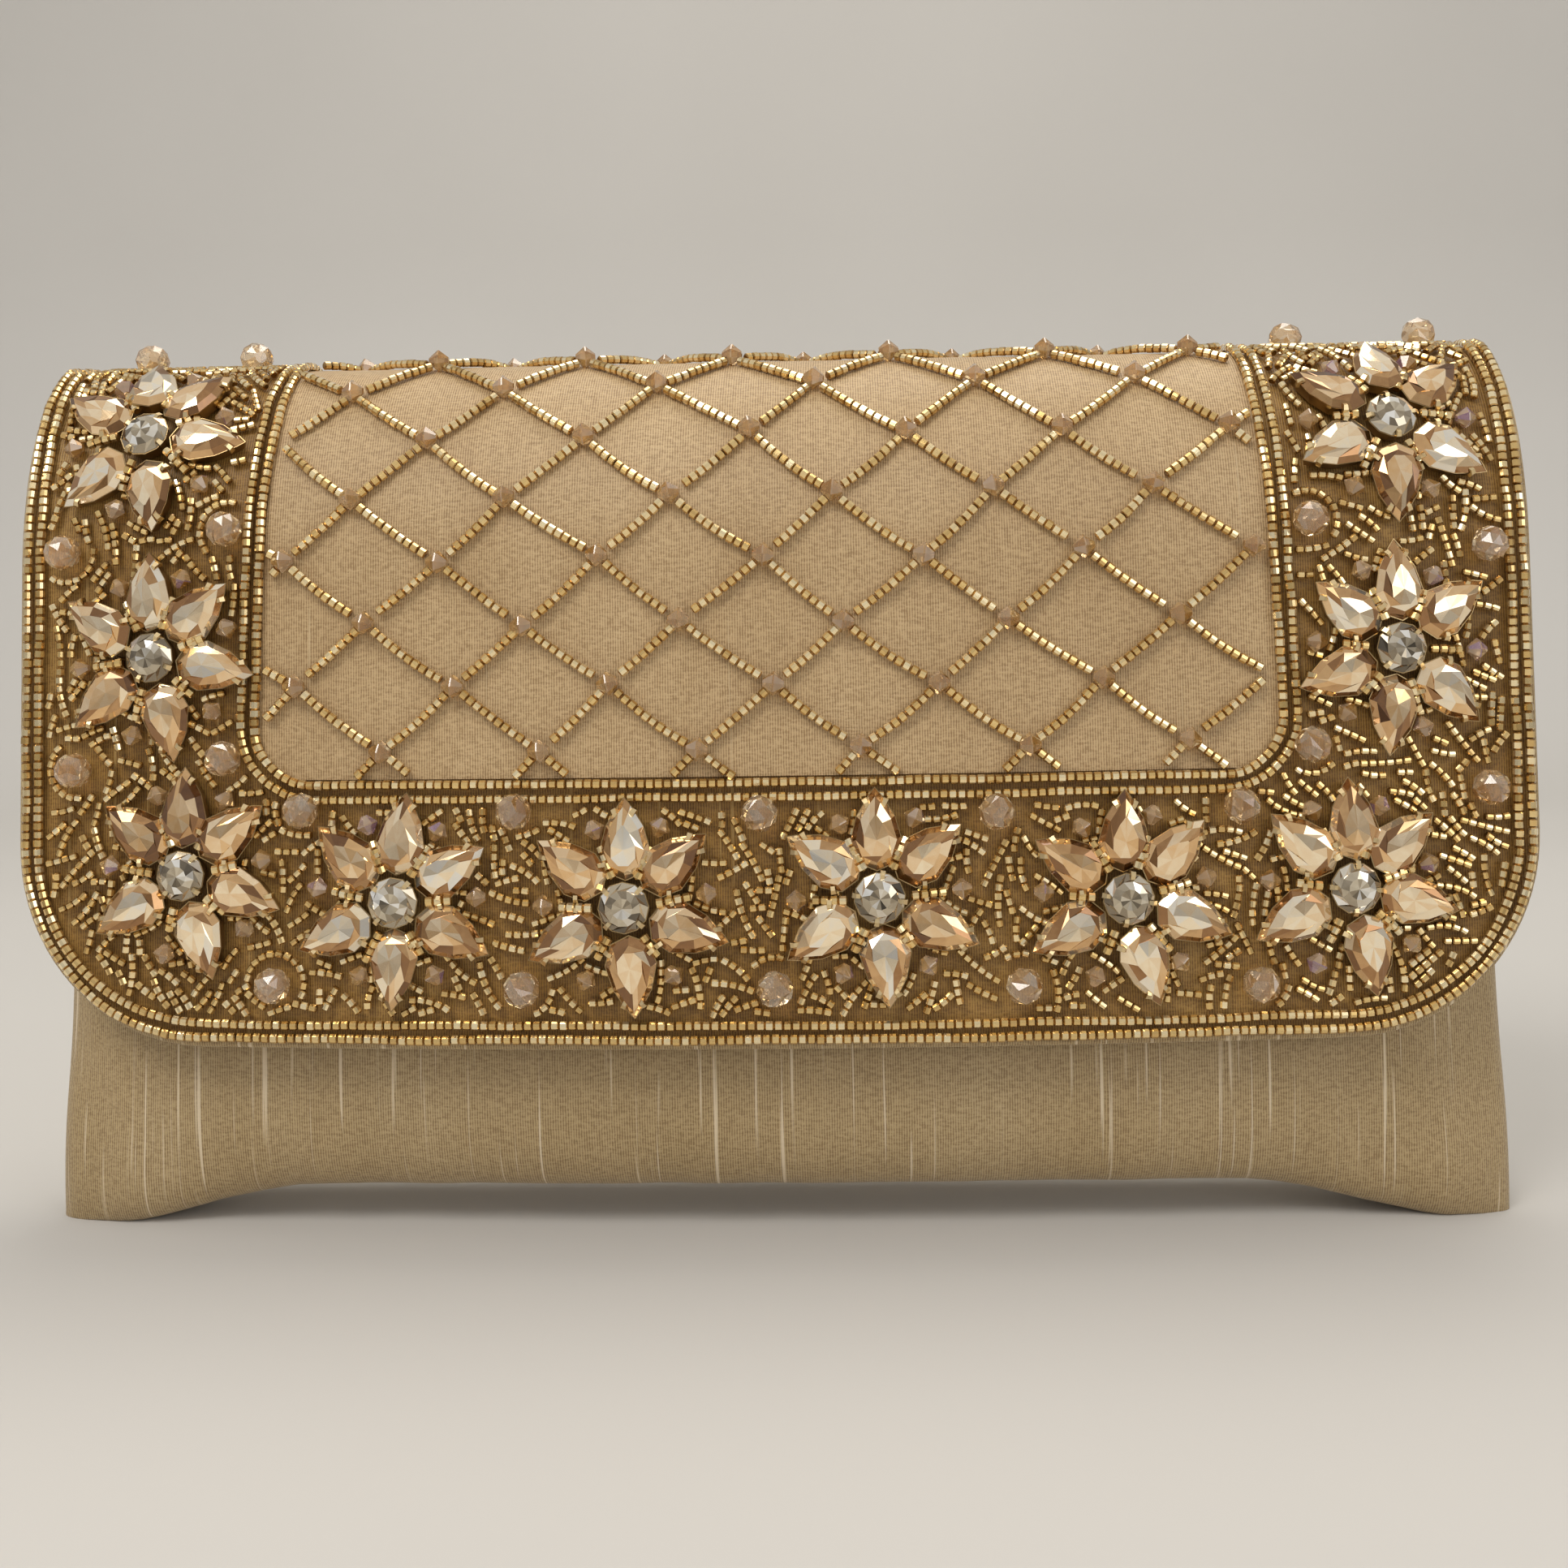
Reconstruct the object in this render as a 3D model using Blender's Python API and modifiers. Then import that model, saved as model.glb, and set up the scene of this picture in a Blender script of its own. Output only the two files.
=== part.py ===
"""Beaded evening clutch: soft pouch, hinged fold-over flap, bead rows, net and stone flowers.

Millimetre design values are scaled to metres.  X runs to the wearer's right of the front view,
Y runs to the back, Z runs up, and the pouch rests on two flat corner patches at Z = 0.
The whole bag leans back a little, so that its weight stands over those patches.
"""
import math

import bmesh
import bpy
from mathutils import Matrix, Vector

MM = 0.001
NAME = "evening_clutch"
LEAN = 0.05              # how far back each point moves for each unit of height
Y_SHIFT = 3.5            # moves the depth centre of the whole bag onto Y = 0

# pouch
POUCH_HALF_W = 124.5     # half width at the side seams
FRONT_DEPTH = 20.2       # front panel bulge at the middle
FRONT_BOW = 8.0          # how much less it bulges at the sides
BACK_DEPTH = 15.5
BACK_BOW = 2.5
BOTTOM_RISE = 6.0        # middle of the bottom above the resting corners
CORNER_DROP = 11.5       # how far the corners sag below the middle before the table flattens them
CORNER_SAG = (76.0, 124.0)   # the sag starts and ends at these distances from the middle
BOTTOM_ROLL = 24.0       # height of the rolled lower edge
MOUTH_Z = 126.0
MOUTH_SIDE_DROP = 10.0
BACK_TOP_Z = 119.6
SEAM_FORWARD = 5.0       # the bottom seam lies this much in front of the side seams' top
SEAM_STRAIGHT_Z = 45.0   # above this height the side seams run straight up
LOWER_REACH = 10.5       # least depth of the front half near the bottom seam
SEAM_GAP = 0.15          # half the gap between front and back at the seam plane
BACK_LAYER_INSET = 1.2   # inner back layers stop short of the opening side edge
MOUTH_EASE = (84.0, 126.0, 0.25)   # the front flattens by the last value between these heights
BACK_OPEN = (0.70, 0.97) # the back panel's sides open out flat between these parts of its height
LAYERS = (               # name, outer depth, inner depth, top drop
    ("panel", 0.0, 0.7, 0.0),
    ("padding", 1.3, 4.0, 1.6),
    ("board", 4.3, 5.3, 1.6),
    ("lining", 5.6, 6.2, 0.0),
)

FACING_LOW = 0.3         # the mouth facing lies between these heights over the front panel
FACING_HIGH = 0.9
POCKET_HALF_W = 54.0     # slip pocket on the back lining
POCKET_LOW_Z = 47.0
POCKET_HIGH_Z = 96.0
POCKET_INSIDE = 6.6      # depth of the pocket cloth inside the back panel's outer face
POCKET_BAG = 1.2         # how far the pocket mouth stands open
POCKET_CLOTH = 0.5

# flap
FLAP_HALF_W = 124.2
FLAP_CORNER_R = 31.0
FLAP_END_S = 124.4       # flap length over the top, from the apex to the lower edge
DOME_TOP_Z = 146.0
FRONT_RISE = 35.0        # front quarter of the dome: height
FRONT_REACH = 27.0       # front quarter of the dome: depth at the middle
FRONT_MEAN_REACH = 25.0  # its depth averaged over the width, for spacing the rows
REAR_RISE = 26.0
FRONT_ARC = 47.5
REAR_ARC = 32.8
FLAP_LAYERS = (          # name, outer offset, inner offset, edge inset, rear start
    ("ground", 0.0, -0.7, 0.0, 0.1),
    ("padding", -1.0, -2.2, 2.0, 1.0),
    ("board", -2.5, -3.4, 2.0, 1.0),
    ("lining", -3.7, -4.3, 1.2, 0.7),
)
HINGE_OUT = 0.5          # hinge axis outside the back surface

# beading
SEED_R = 0.9
BEAD_GAP = 0.3
ROW_INSETS = (("outer", 0.6), ("inner", 2.8))
ROW_START_S = -27.0
WINDOW_LEFT = -81.5
WINDOW_RIGHT = 82.3
WINDOW_RIGHT_TOP = 80.0
WINDOW_BOTTOM_S = 82.3
WINDOW_R = 9.0
WINDOW_ROWS = (("inner", 0.9), ("outer", 3.2))
NET_PITCH_S = 10.2
NET_FIRST_S = 6.1
NET_PITCH_X = 26.1
NET_FIRST_X = -68.6
NET_LEFT = -78.5
NET_RIGHT = 77.0
NET_ROWS = 8
BICONE_R = 1.9
NET_R = 0.75

FLOWER_REACH = 18.4
FLOWERS = (              # x, distance over the top, petal directions in degrees
    (-103.8, 25.2, (152, 96, 46, -6, -78, -136)),
    (-100.7, 62.1, (148, 92, 45, -10, -76, -140)),
    (-95.3, 97.6, (139, 88, 42, -16, -72, -148)),
    (-59.9, 101.8, (137, 83, 30, -30, -90, -152)),
    (-22.7, 102.7, (142, 88, 42, -21, -84, -151)),
    (17.8, 101.6, (145, 92, 42, -27, -84, -149)),
    (57.0, 102.4, (147, 92, 45, -19, -76, -151)),
    (93.2, 101.6, (137, 90, 42, -12, -78, -155)),
    (102.9, 26.3, (150, 92, 38, -34, -90, -152)),
    (101.9, 63.6, (142, 91, 38, -42, -98, -159)),
)
CRYSTALS = ((-111.0, -1.0), (-92.0, -1.0), (92.0, -2.0), (115.0, -1.0))
CRYSTAL_R = 3.0
SNAP_Z = 48.0
SNAP_R = 7.0
SNAP_LIFTS = (0.3, 1.2)  # magnet and plate in front of the front panel

GOLD_SILK = (0.62, 0.47, 0.27, 1.0)
DARK_SILK = (0.24, 0.15, 0.06, 1.0)
LINING_SILK = (0.55, 0.42, 0.26, 1.0)
WADDING = (0.85, 0.83, 0.78, 1.0)
CARD = (0.55, 0.47, 0.36, 1.0)
GOLD_BEAD = (0.80, 0.60, 0.24, 1.0)
CHAMPAGNE_GLASS = (0.86, 0.70, 0.50, 1.0)
SMOKE_GLASS = (0.62, 0.56, 0.48, 1.0)
STEEL = (0.72, 0.70, 0.66, 1.0)


def clear_scene():
    for obj in list(bpy.data.objects):
        bpy.data.objects.remove(obj, do_unlink=True)


def smooth(low, high, value):
    t = min(max((value - low) / (high - low), 0.0), 1.0)
    return t * t * (3.0 - 2.0 * t)


def make_material(name, colour, roughness, metallic):
    mat = bpy.data.materials.new(name)
    mat.use_nodes = True
    shader = mat.node_tree.nodes["Principled BSDF"]
    shader.inputs["Base Color"].default_value = colour
    shader.inputs["Roughness"].default_value = roughness
    shader.inputs["Metallic"].default_value = metallic
    mat.diffuse_color = colour
    return mat


def world(x, y, z):
    return Vector((x, y + Y_SHIFT + LEAN * z, z)) * MM


# ---------------------------------------------------------------- pouch surface
def seam_y(z):
    return -SEAM_FORWARD * (1.0 - smooth(0.0, SEAM_STRAIGHT_Z, z))


def bottom_z(x, depth):
    sag = CORNER_DROP * smooth(*CORNER_SAG, abs(x))
    return BOTTOM_RISE - sag + depth


def pouch_point(side, u, v, depth, drop):
    """side -1 front, +1 back; u across -1..1; v up 0..1; depth is measured inwards."""
    half = POUCH_HALF_W - depth
    if side > 0 and depth > 0.8:
        half -= BACK_LAYER_INSET
    x = half * math.sin(0.5 * math.pi * u)
    pinch = math.sqrt(max(0.0, 1.0 - (abs(x) / half) ** 10))
    low = bottom_z(x, depth)
    roll = BOTTOM_ROLL - depth * 0.5
    if side < 0:
        top = MOUTH_Z - MOUTH_SIDE_DROP * (abs(x) / half) ** 4
    else:
        top = BACK_TOP_Z
    if v < 0.5:
        angle = math.pi * v
        z = low + roll * (1.0 - math.cos(angle) ** (2.0 / 3.0))
        out = math.sin(angle) ** (2.0 / 3.0)
    else:
        z = low + roll + (top - low - roll) * (v - 0.5) * 2.0
        out = 1.0
    z = max(z, depth)
    middle = seam_y(z - depth)
    ratio = x / POUCH_HALF_W
    if side < 0:
        reach = max(FRONT_DEPTH - FRONT_BOW * ratio * ratio + middle, LOWER_REACH) - depth
        low_z, high_z, ease = MOUTH_EASE
        reach *= 1.0 - ease * smooth(low_z, high_z, z)
    else:
        reach = (BACK_DEPTH - BACK_BOW * ratio * ratio) - middle - depth
        pinch = pinch + (1.0 - pinch) * smooth(*BACK_OPEN, v)
    y = middle + side * (SEAM_GAP + (reach - SEAM_GAP) * pinch * out)
    if v > 0.999:
        z -= drop
    return x, y, z


def pouch_grid(side, depth, drop, columns, rows):
    grid = []
    for j in range(rows + 1):
        v = j / rows
        line = []
        for i in range(columns + 1):
            u = -1.0 + 2.0 * i / columns
            line.append(world(*pouch_point(side, u, v, depth, drop)))
        grid.append(line)
    return grid


# ---------------------------------------------------------------- flap surface
def arc_angle(part, reach, rise):
    """Angle from the apex at a given part of a quarter ellipse's length."""
    steps = 60
    lengths = [0.0]
    for k in range(steps):
        a0 = 0.5 * math.pi * k / steps
        a1 = 0.5 * math.pi * (k + 1) / steps
        dy = reach * (math.sin(a1) - math.sin(a0))
        dz = rise * (math.cos(a1) - math.cos(a0))
        lengths.append(lengths[-1] + math.hypot(dy, dz))
    target = part * lengths[-1]
    for k in range(steps):
        if lengths[k + 1] >= target:
            step = (target - lengths[k]) / (lengths[k + 1] - lengths[k])
            return 0.5 * math.pi * (k + step) / steps
    return 0.5 * math.pi


def flap_point(x, s, height):
    """Point of the flap at x and at distance s over the top, raised by height off the cloth."""
    ratio = x / POUCH_HALF_W
    front = FRONT_REACH - FRONT_BOW * ratio * ratio + height
    rear = BACK_DEPTH - BACK_BOW * ratio * ratio + height
    if s >= FRONT_ARC:
        return x, -front, DOME_TOP_Z - FRONT_RISE - (s - FRONT_ARC)
    if s >= 0.0:
        angle = arc_angle(s / FRONT_ARC, FRONT_MEAN_REACH, FRONT_RISE)
        z = DOME_TOP_Z - FRONT_RISE + (FRONT_RISE + height) * math.cos(angle)
        return x, -front * math.sin(angle), z
    angle = arc_angle(min(1.0, -s / REAR_ARC), BACK_DEPTH, REAR_RISE)
    z = DOME_TOP_Z - REAR_RISE + (REAR_RISE + height) * math.cos(angle)
    return x, rear * math.sin(angle), z


def flap_world(x, s, height):
    return world(*flap_point(x, s, height))


def flap_frame(x, s, height):
    """Placement with local Z along the outward normal and local X across the flap."""
    here = flap_world(x, s, height)
    across = flap_world(x + 0.5, s, height) - flap_world(x - 0.5, s, height)
    down = flap_world(x, s + 0.5, height) - flap_world(x, s - 0.5, height)
    normal = across.cross(-down).normalized()
    across.normalize()
    up = normal.cross(across).normalized()
    turn = Matrix((across, up, normal)).transposed()
    return here, turn


def flap_rows(inset, rear_start):
    """List of (s, half width) rows from the rear edge to the lower edge."""
    rows = []
    for k in range(4):
        rows.append((-(REAR_ARC - rear_start) * (1.0 - k / 3.0), FLAP_HALF_W - inset))
    for k in range(1, 6):
        rows.append((FRONT_ARC * k / 5.0, FLAP_HALF_W - inset))
    corner_s = FLAP_END_S - FLAP_CORNER_R
    rows.append((corner_s, FLAP_HALF_W - inset))
    radius = FLAP_CORNER_R - inset
    for k in range(1, 6):
        angle = 0.5 * math.pi * k / 5.0
        half = FLAP_HALF_W - FLAP_CORNER_R + radius * math.cos(angle)
        rows.append((corner_s + radius * math.sin(angle), half))
    return rows


def flap_grid(height, inset, rear_start, columns):
    grid = []
    for s, half in flap_rows(inset, rear_start):
        line = []
        for i in range(columns + 1):
            u = -1.0 + 2.0 * i / columns
            line.append(flap_world(half * u, s, height))
        grid.append(line)
    return grid


def border_path(inset):
    """Left side, lower left corner, lower edge, lower right corner and right side."""
    corner_s = FLAP_END_S - FLAP_CORNER_R
    radius = FLAP_CORNER_R - inset
    middle = FLAP_HALF_W - FLAP_CORNER_R
    side = [ROW_START_S, -18.0, -9.0]
    side += [FRONT_ARC * k / 6.0 for k in range(7)]
    side += [corner_s]
    left = [(-(middle + radius), s) for s in side]
    for k in range(1, 6):
        angle = 0.5 * math.pi * k / 5.0
        left.append((-(middle + radius * math.cos(angle)), corner_s + radius * math.sin(angle)))
    bottom = [(-middle + 2.0 * middle * k / 8.0, corner_s + radius) for k in range(1, 8)]
    right = [(-x, s) for x, s in reversed(left)]
    return left + bottom + right


def window_path(offset):
    """Frame around the plain silk window, moved outwards by offset."""
    low = WINDOW_BOTTOM_S + offset
    radius = WINDOW_R + offset
    straight = low - radius
    side = [ROW_START_S, -18.0, -9.0]
    side += [FRONT_ARC * k / 6.0 for k in range(7)]
    side += [straight]
    x_left = WINDOW_LEFT - offset
    left = [(x_left, s) for s in side]
    for k in range(1, 5):
        angle = 0.5 * math.pi * k / 4.0
        left.append((x_left + radius * (1.0 - math.cos(angle)), straight + radius * math.sin(angle)))
    x_right = WINDOW_RIGHT + offset
    span = (x_right - radius) - (x_left + radius)
    bottom = [(x_left + radius + span * k / 7.0, low) for k in range(1, 7)]
    right = []
    for k in range(0, 5):
        angle = 0.5 * math.pi * k / 4.0
        right.append((x_right - radius * (1.0 - math.sin(angle)), straight + radius * math.cos(angle)))
    for s in reversed(side[:-1]):
        lean = (WINDOW_RIGHT_TOP - WINDOW_RIGHT) * (1.0 - max(s, 0.0) / straight)
        right.append((x_right + lean, s))
    return left + bottom + right


# ---------------------------------------------------------------- builders
class Builder:
    def __init__(self):
        self.parts = bpy.data.collections.new(NAME)
        bpy.context.scene.collection.children.link(self.parts)
        self.materials = {}
        axis = world(0.0, BACK_DEPTH + HINGE_OUT, DOME_TOP_Z - REAR_RISE)
        self.hinge = bpy.data.objects.new("flap_hinge", None)
        self.hinge.empty_display_size = 0.02
        self.hinge.location = axis
        self.parts.objects.link(self.hinge)
        self.pivot = axis

    def material(self, key, colour, roughness, metallic):
        if key not in self.materials:
            self.materials[key] = make_material(key, colour, roughness, metallic)
        return self.materials[key]

    def add(self, obj, mat, on_flap, place=None):
        self.parts.objects.link(obj)
        obj.data.materials.append(mat)
        origin = self.pivot if on_flap else Vector((0.0, 0.0, 0.0))
        if on_flap:
            obj.parent = self.hinge
        if place is None:
            if obj.type == "CURVE":
                for spline in obj.data.splines:
                    for point in spline.points:
                        point.co = (point.co[0] - origin[0], point.co[1] - origin[1],
                                    point.co[2] - origin[2], 1.0)
            else:
                for vert in obj.data.vertices:
                    vert.co -= origin
        else:
            here, turn = place
            obj.location = here - origin
            obj.rotation_euler = turn.to_euler()
        return obj

    def shell(self, name, outer, inner, mat, on_flap):
        """Closed sheet lofted between two matching grids."""
        mesh = bpy.data.meshes.new(name)
        bm = bmesh.new()
        rows = len(outer)
        columns = len(outer[0])
        top = [[bm.verts.new(p) for p in line] for line in outer]
        under = [[bm.verts.new(p) for p in line] for line in inner]
        for j in range(rows - 1):
            for i in range(columns - 1):
                bm.faces.new((top[j][i], top[j][i + 1], top[j + 1][i + 1], top[j + 1][i]))
                bm.faces.new((under[j][i], under[j + 1][i], under[j + 1][i + 1], under[j][i + 1]))
        for i in range(columns - 1):
            bm.faces.new((top[0][i + 1], top[0][i], under[0][i], under[0][i + 1]))
            bm.faces.new((top[-1][i], top[-1][i + 1], under[-1][i + 1], under[-1][i]))
        for j in range(rows - 1):
            bm.faces.new((top[j][0], top[j + 1][0], under[j + 1][0], under[j][0]))
            bm.faces.new((top[j + 1][-1], top[j][-1], under[j][-1], under[j + 1][-1]))
        bmesh.ops.triangulate(bm, faces=bm.faces[:], quad_method="FIXED")
        bmesh.ops.recalc_face_normals(bm, faces=bm.faces[:])
        if bm.calc_volume(signed=True) < 0.0:
            bmesh.ops.reverse_faces(bm, faces=bm.faces[:])
        bm.to_mesh(mesh)
        bm.free()
        mesh.shade_smooth()
        mesh.set_sharp_from_angle(angle=math.radians(40.0))
        return self.add(bpy.data.objects.new(name, mesh), mat, on_flap)

    def rings(self, name, rings, mat, on_flap):
        """Closed body lofted through a stack of rings with equal counts."""
        mesh = bpy.data.meshes.new(name)
        bm = bmesh.new()
        loops = [[bm.verts.new(p) for p in ring] for ring in rings]
        count = len(rings[0])
        for low, high in zip(loops, loops[1:]):
            for k in range(count):
                nxt = (k + 1) % count
                bm.faces.new((low[k], low[nxt], high[nxt], high[k]))
        bm.faces.new(list(reversed(loops[0])))
        bm.faces.new(loops[-1])
        bmesh.ops.triangulate(bm, faces=bm.faces[:])
        bmesh.ops.recalc_face_normals(bm, faces=bm.faces[:])
        if bm.calc_volume(signed=True) < 0.0:
            bmesh.ops.reverse_faces(bm, faces=bm.faces[:])
        bm.to_mesh(mesh)
        bm.free()
        return self.add(bpy.data.objects.new(name, mesh), mat, on_flap)

    def strand(self, name, points, radius, mat, on_flap, swell=None, resolution=1):
        curve = bpy.data.curves.new(name, "CURVE")
        curve.dimensions = "3D"
        curve.bevel_depth = radius * MM
        curve.bevel_resolution = resolution
        curve.use_fill_caps = True
        spline = curve.splines.new("POLY")
        spline.points.add(len(points) - 1)
        for k, point in enumerate(points):
            spline.points[k].co = (point[0], point[1], point[2], 1.0)
            spline.points[k].radius = swell[k] if swell else 1.0
        return self.add(bpy.data.objects.new(name, curve), mat, on_flap)

    def lathe(self, name, profile, steps, mat, on_flap, place):
        mesh = bpy.data.meshes.new(name)
        verts = [(r * MM, 0.0, z * MM) for r, z in profile]
        edges = [(k, k + 1) for k in range(len(verts) - 1)]
        mesh.from_pydata(verts, edges, [])
        obj = bpy.data.objects.new(name, mesh)
        screw = obj.modifiers.new("turn", "SCREW")
        screw.steps = steps
        screw.render_steps = steps
        screw.use_merge_vertices = True
        screw.merge_threshold = 0.00001
        screw.use_smooth_shade = False
        return self.add(obj, mat, on_flap, place)


def build_pouch(kit):
    mats = {
        "panel": kit.material("champagne_silk", GOLD_SILK, 0.55, 0.0),
        "padding": kit.material("wadding", WADDING, 0.95, 0.0),
        "board": kit.material("stiffener_card", CARD, 0.9, 0.0),
        "lining": kit.material("lining_silk", LINING_SILK, 0.6, 0.0),
    }
    for side, word in ((-1, "front"), (1, "back")):
        for layer, outer, inner, drop in LAYERS:
            grid_out = pouch_grid(side, outer, drop, 14, 10)
            grid_in = pouch_grid(side, inner, drop, 14, 10)
            kit.shell(word + "_" + layer, grid_out, grid_in, mats[layer], False)
    facing_top = []
    facing_low = []
    for depth in (0.0, LAYERS[-1][2]):
        upper = []
        lower = []
        for i in range(15):
            x, y, z = pouch_point(-1, -1.0 + 2.0 * i / 14, 1.0, depth, 0.0)
            upper.append(world(x, y, z + FACING_HIGH))
            lower.append(world(x, y, z + FACING_LOW))
        facing_top.append(upper)
        facing_low.append(lower)
    kit.shell("mouth_facing", facing_top, facing_low, mats["panel"], False)
    pocket_out = []
    pocket_in = []
    for j in range(5):
        z = POCKET_LOW_Z + (POCKET_HIGH_Z - POCKET_LOW_Z) * j / 4.0
        line_out = []
        line_in = []
        for i in range(7):
            x = POCKET_HALF_W * (-1.0 + 2.0 * i / 6.0)
            slack = 1.0 - (x / POCKET_HALF_W) ** 2
            bag = POCKET_BAG * slack * smooth(POCKET_LOW_Z, POCKET_HIGH_Z, z)
            ratio = x / POUCH_HALF_W
            y = BACK_DEPTH - BACK_BOW * ratio * ratio - POCKET_INSIDE - bag
            line_out.append(world(x, y, z))
            line_in.append(world(x, y - POCKET_CLOTH, z))
        pocket_out.append(line_out)
        pocket_in.append(line_in)
    kit.shell("slip_pocket", pocket_out, pocket_in, mats["lining"], False)
    steel = kit.material("plated_steel", STEEL, 0.3, 1.0)
    turn = Matrix.Rotation(math.radians(90.0) - math.atan(LEAN), 3, "X")
    magnet = ((0.0, 0.4), (2.8, 0.4), (2.8, 1.0), (SNAP_R, 1.0), (SNAP_R, 0.0), (0.0, 0.0))
    here = world(0.0, -(FRONT_DEPTH + SNAP_LIFTS[0]), SNAP_Z)
    kit.lathe("snap_magnet", magnet, 16, steel, False, (here, turn))
    plate = ((0.0, 1.0), (SNAP_R, 1.0), (SNAP_R, 0.4), (2.0, 0.4), (2.0, 0.0), (0.0, 0.0))
    here = world(0.0, -(FRONT_DEPTH + SNAP_LIFTS[1]), SNAP_Z)
    kit.lathe("snap_plate", plate, 16, steel, True, (here, turn))


def build_flap(kit):
    mats = {
        "ground": kit.material("flap_silk", DARK_SILK, 0.55, 0.0),
        "padding": kit.material("wadding", WADDING, 0.95, 0.0),
        "board": kit.material("stiffener_card", CARD, 0.9, 0.0),
        "lining": kit.material("lining_silk", LINING_SILK, 0.6, 0.0),
    }
    for layer, outer, inner, inset, start in FLAP_LAYERS:
        grid_out = flap_grid(outer, inset, start, 12)
        grid_in = flap_grid(inner, inset, start, 12)
        kit.shell("flap_" + layer, grid_out, grid_in, mats[layer], True)
    gold = kit.material("gold_bead_glass", GOLD_BEAD, 0.25, 0.6)
    piping = kit.material("gold_piping", GOLD_SILK, 0.45, 0.2)
    path = [flap_world(x, s, -0.5) for x, s in border_path(-0.8)]
    kit.strand("edge_piping", path, 0.45, piping, True)
    lift = SEED_R + BEAD_GAP
    for word, inset in ROW_INSETS:
        path = [flap_world(x, s, lift) for x, s in border_path(inset)]
        kit.strand("edge_bead_row_" + word, path, SEED_R, gold, True)
    for word, offset in WINDOW_ROWS:
        path = [flap_world(x, s, lift) for x, s in window_path(offset)]
        kit.strand("window_bead_row_" + word, path, SEED_R, gold, True)


def net_strand(row):
    """Zigzag of seed beads with a crystal at each upper turn: list of (x, s, radius)."""
    start = NET_FIRST_S + NET_PITCH_S * (row - 1)
    high = start + 0.6
    low = min(start + NET_PITCH_S - 2.3, WINDOW_BOTTOM_S - 2.0)
    shift = 0.0 if (row - 1) % 2 else 0.5 * NET_PITCH_X
    stops = []
    k = -2
    while True:
        x_high = NET_FIRST_X + shift + NET_PITCH_X * k
        x_low = x_high + 0.5 * NET_PITCH_X
        if x_high > NET_RIGHT + NET_PITCH_X:
            break
        for dx, r in ((-1.8, NET_R), (0.0, BICONE_R), (1.8, NET_R)):
            stops.append((x_high + dx, high, r))
        for dx in (-1.2, 1.2):
            stops.append((x_low + dx, low, NET_R))
        k += 1
    return [p for p in stops if NET_LEFT <= p[0] <= NET_RIGHT]


def build_net(kit):
    glass = kit.material("gold_bead_glass", GOLD_BEAD, 0.2, 0.5)
    for row in range(1, NET_ROWS + 1):
        stops = net_strand(row)
        points = [flap_world(x, s, r + BEAD_GAP) for x, s, r in stops]
        swell = [r / NET_R for x, s, r in stops]
        kit.strand("net_strand_%d" % row, points, NET_R, glass, True, swell, 0)


def flower_outline(angles):
    """Plan outline of a six-stone flower as (radius, angle, kind) around its middle."""
    outline = []
    order = sorted(a % 360 for a in angles)
    for k, angle in enumerate(order):
        nxt = order[(k + 1) % 6] + (360 if k == 5 else 0)
        for da, r in ((-19.0, 8.0), (-18.0, 12.0), (0.0, FLOWER_REACH), (18.0, 12.0), (19.0, 8.0)):
            outline.append((r, angle + da, 1))
        outline.append((5.6, 0.5 * (angle + nxt), 0))
    return outline, order


def build_flowers(kit):
    stone = kit.material("champagne_crystal", CHAMPAGNE_GLASS, 0.1, 0.2)
    smoke = kit.material("clear_crystal", SMOKE_GLASS, 0.1, 0.2)
    for number, (fx, fs, angles) in enumerate(FLOWERS, 1):
        outline, order = flower_outline(angles)
        base = []
        girdle = []
        table = []
        inner = []
        for index, (r, angle, kind) in enumerate(outline):
            a = math.radians(angle)
            c = math.cos(a)
            d = math.sin(a)
            base.append(flap_world(fx + 4.2 * c, fs - 4.2 * d, 0.8))
            girdle.append(flap_world(fx + r * c, fs - r * d, 3.0))
            if kind:
                lead = math.radians(order[index // 6])
                mx = 11.2 * math.cos(lead)
                my = 11.2 * math.sin(lead)
                tx = mx + (r * c - mx) * 0.55
                ty = my + (r * d - my) * 0.55
                table.append(flap_world(fx + tx, fs - ty, 4.6))
            else:
                table.append(flap_world(fx + 5.2 * c, fs - 5.2 * d, 2.9))
            inner.append(flap_world(fx + 4.0 * c, fs - 4.0 * d, 2.6))
        kit.rings("flower_%02d_petals" % number, (base, girdle, table, inner), stone, True)
        profile = ((0.0, 2.3), (2.4, 2.3), (4.0, 1.2), (3.3, 0.0), (0.0, 0.0))
        kit.lathe("flower_%02d_centre" % number, profile, 10, smoke, True, flap_frame(fx, fs, 2.9))
    for number, (x, s) in enumerate(CRYSTALS, 1):
        mesh = bpy.data.meshes.new("top_crystal_%d" % number)
        bm = bmesh.new()
        bmesh.ops.create_uvsphere(bm, u_segments=8, v_segments=6, radius=CRYSTAL_R * MM)
        bm.to_mesh(mesh)
        bm.free()
        obj = bpy.data.objects.new("top_crystal_%d" % number, mesh)
        kit.add(obj, smoke, True, flap_frame(x, s, CRYSTAL_R + BEAD_GAP))


def main():
    clear_scene()
    kit = Builder()
    build_pouch(kit)
    build_flap(kit)
    build_net(kit)
    build_flowers(kit)


main()
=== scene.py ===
"""Looks for the beaded evening clutch: silk, padding, beading, stones, floor, light and camera.

Design values are in millimetres on the flap's own surface: x across, s over the top from the apex.
"""

import math
import random

import bpy
from mathutils import Matrix, Vector, noise

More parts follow.
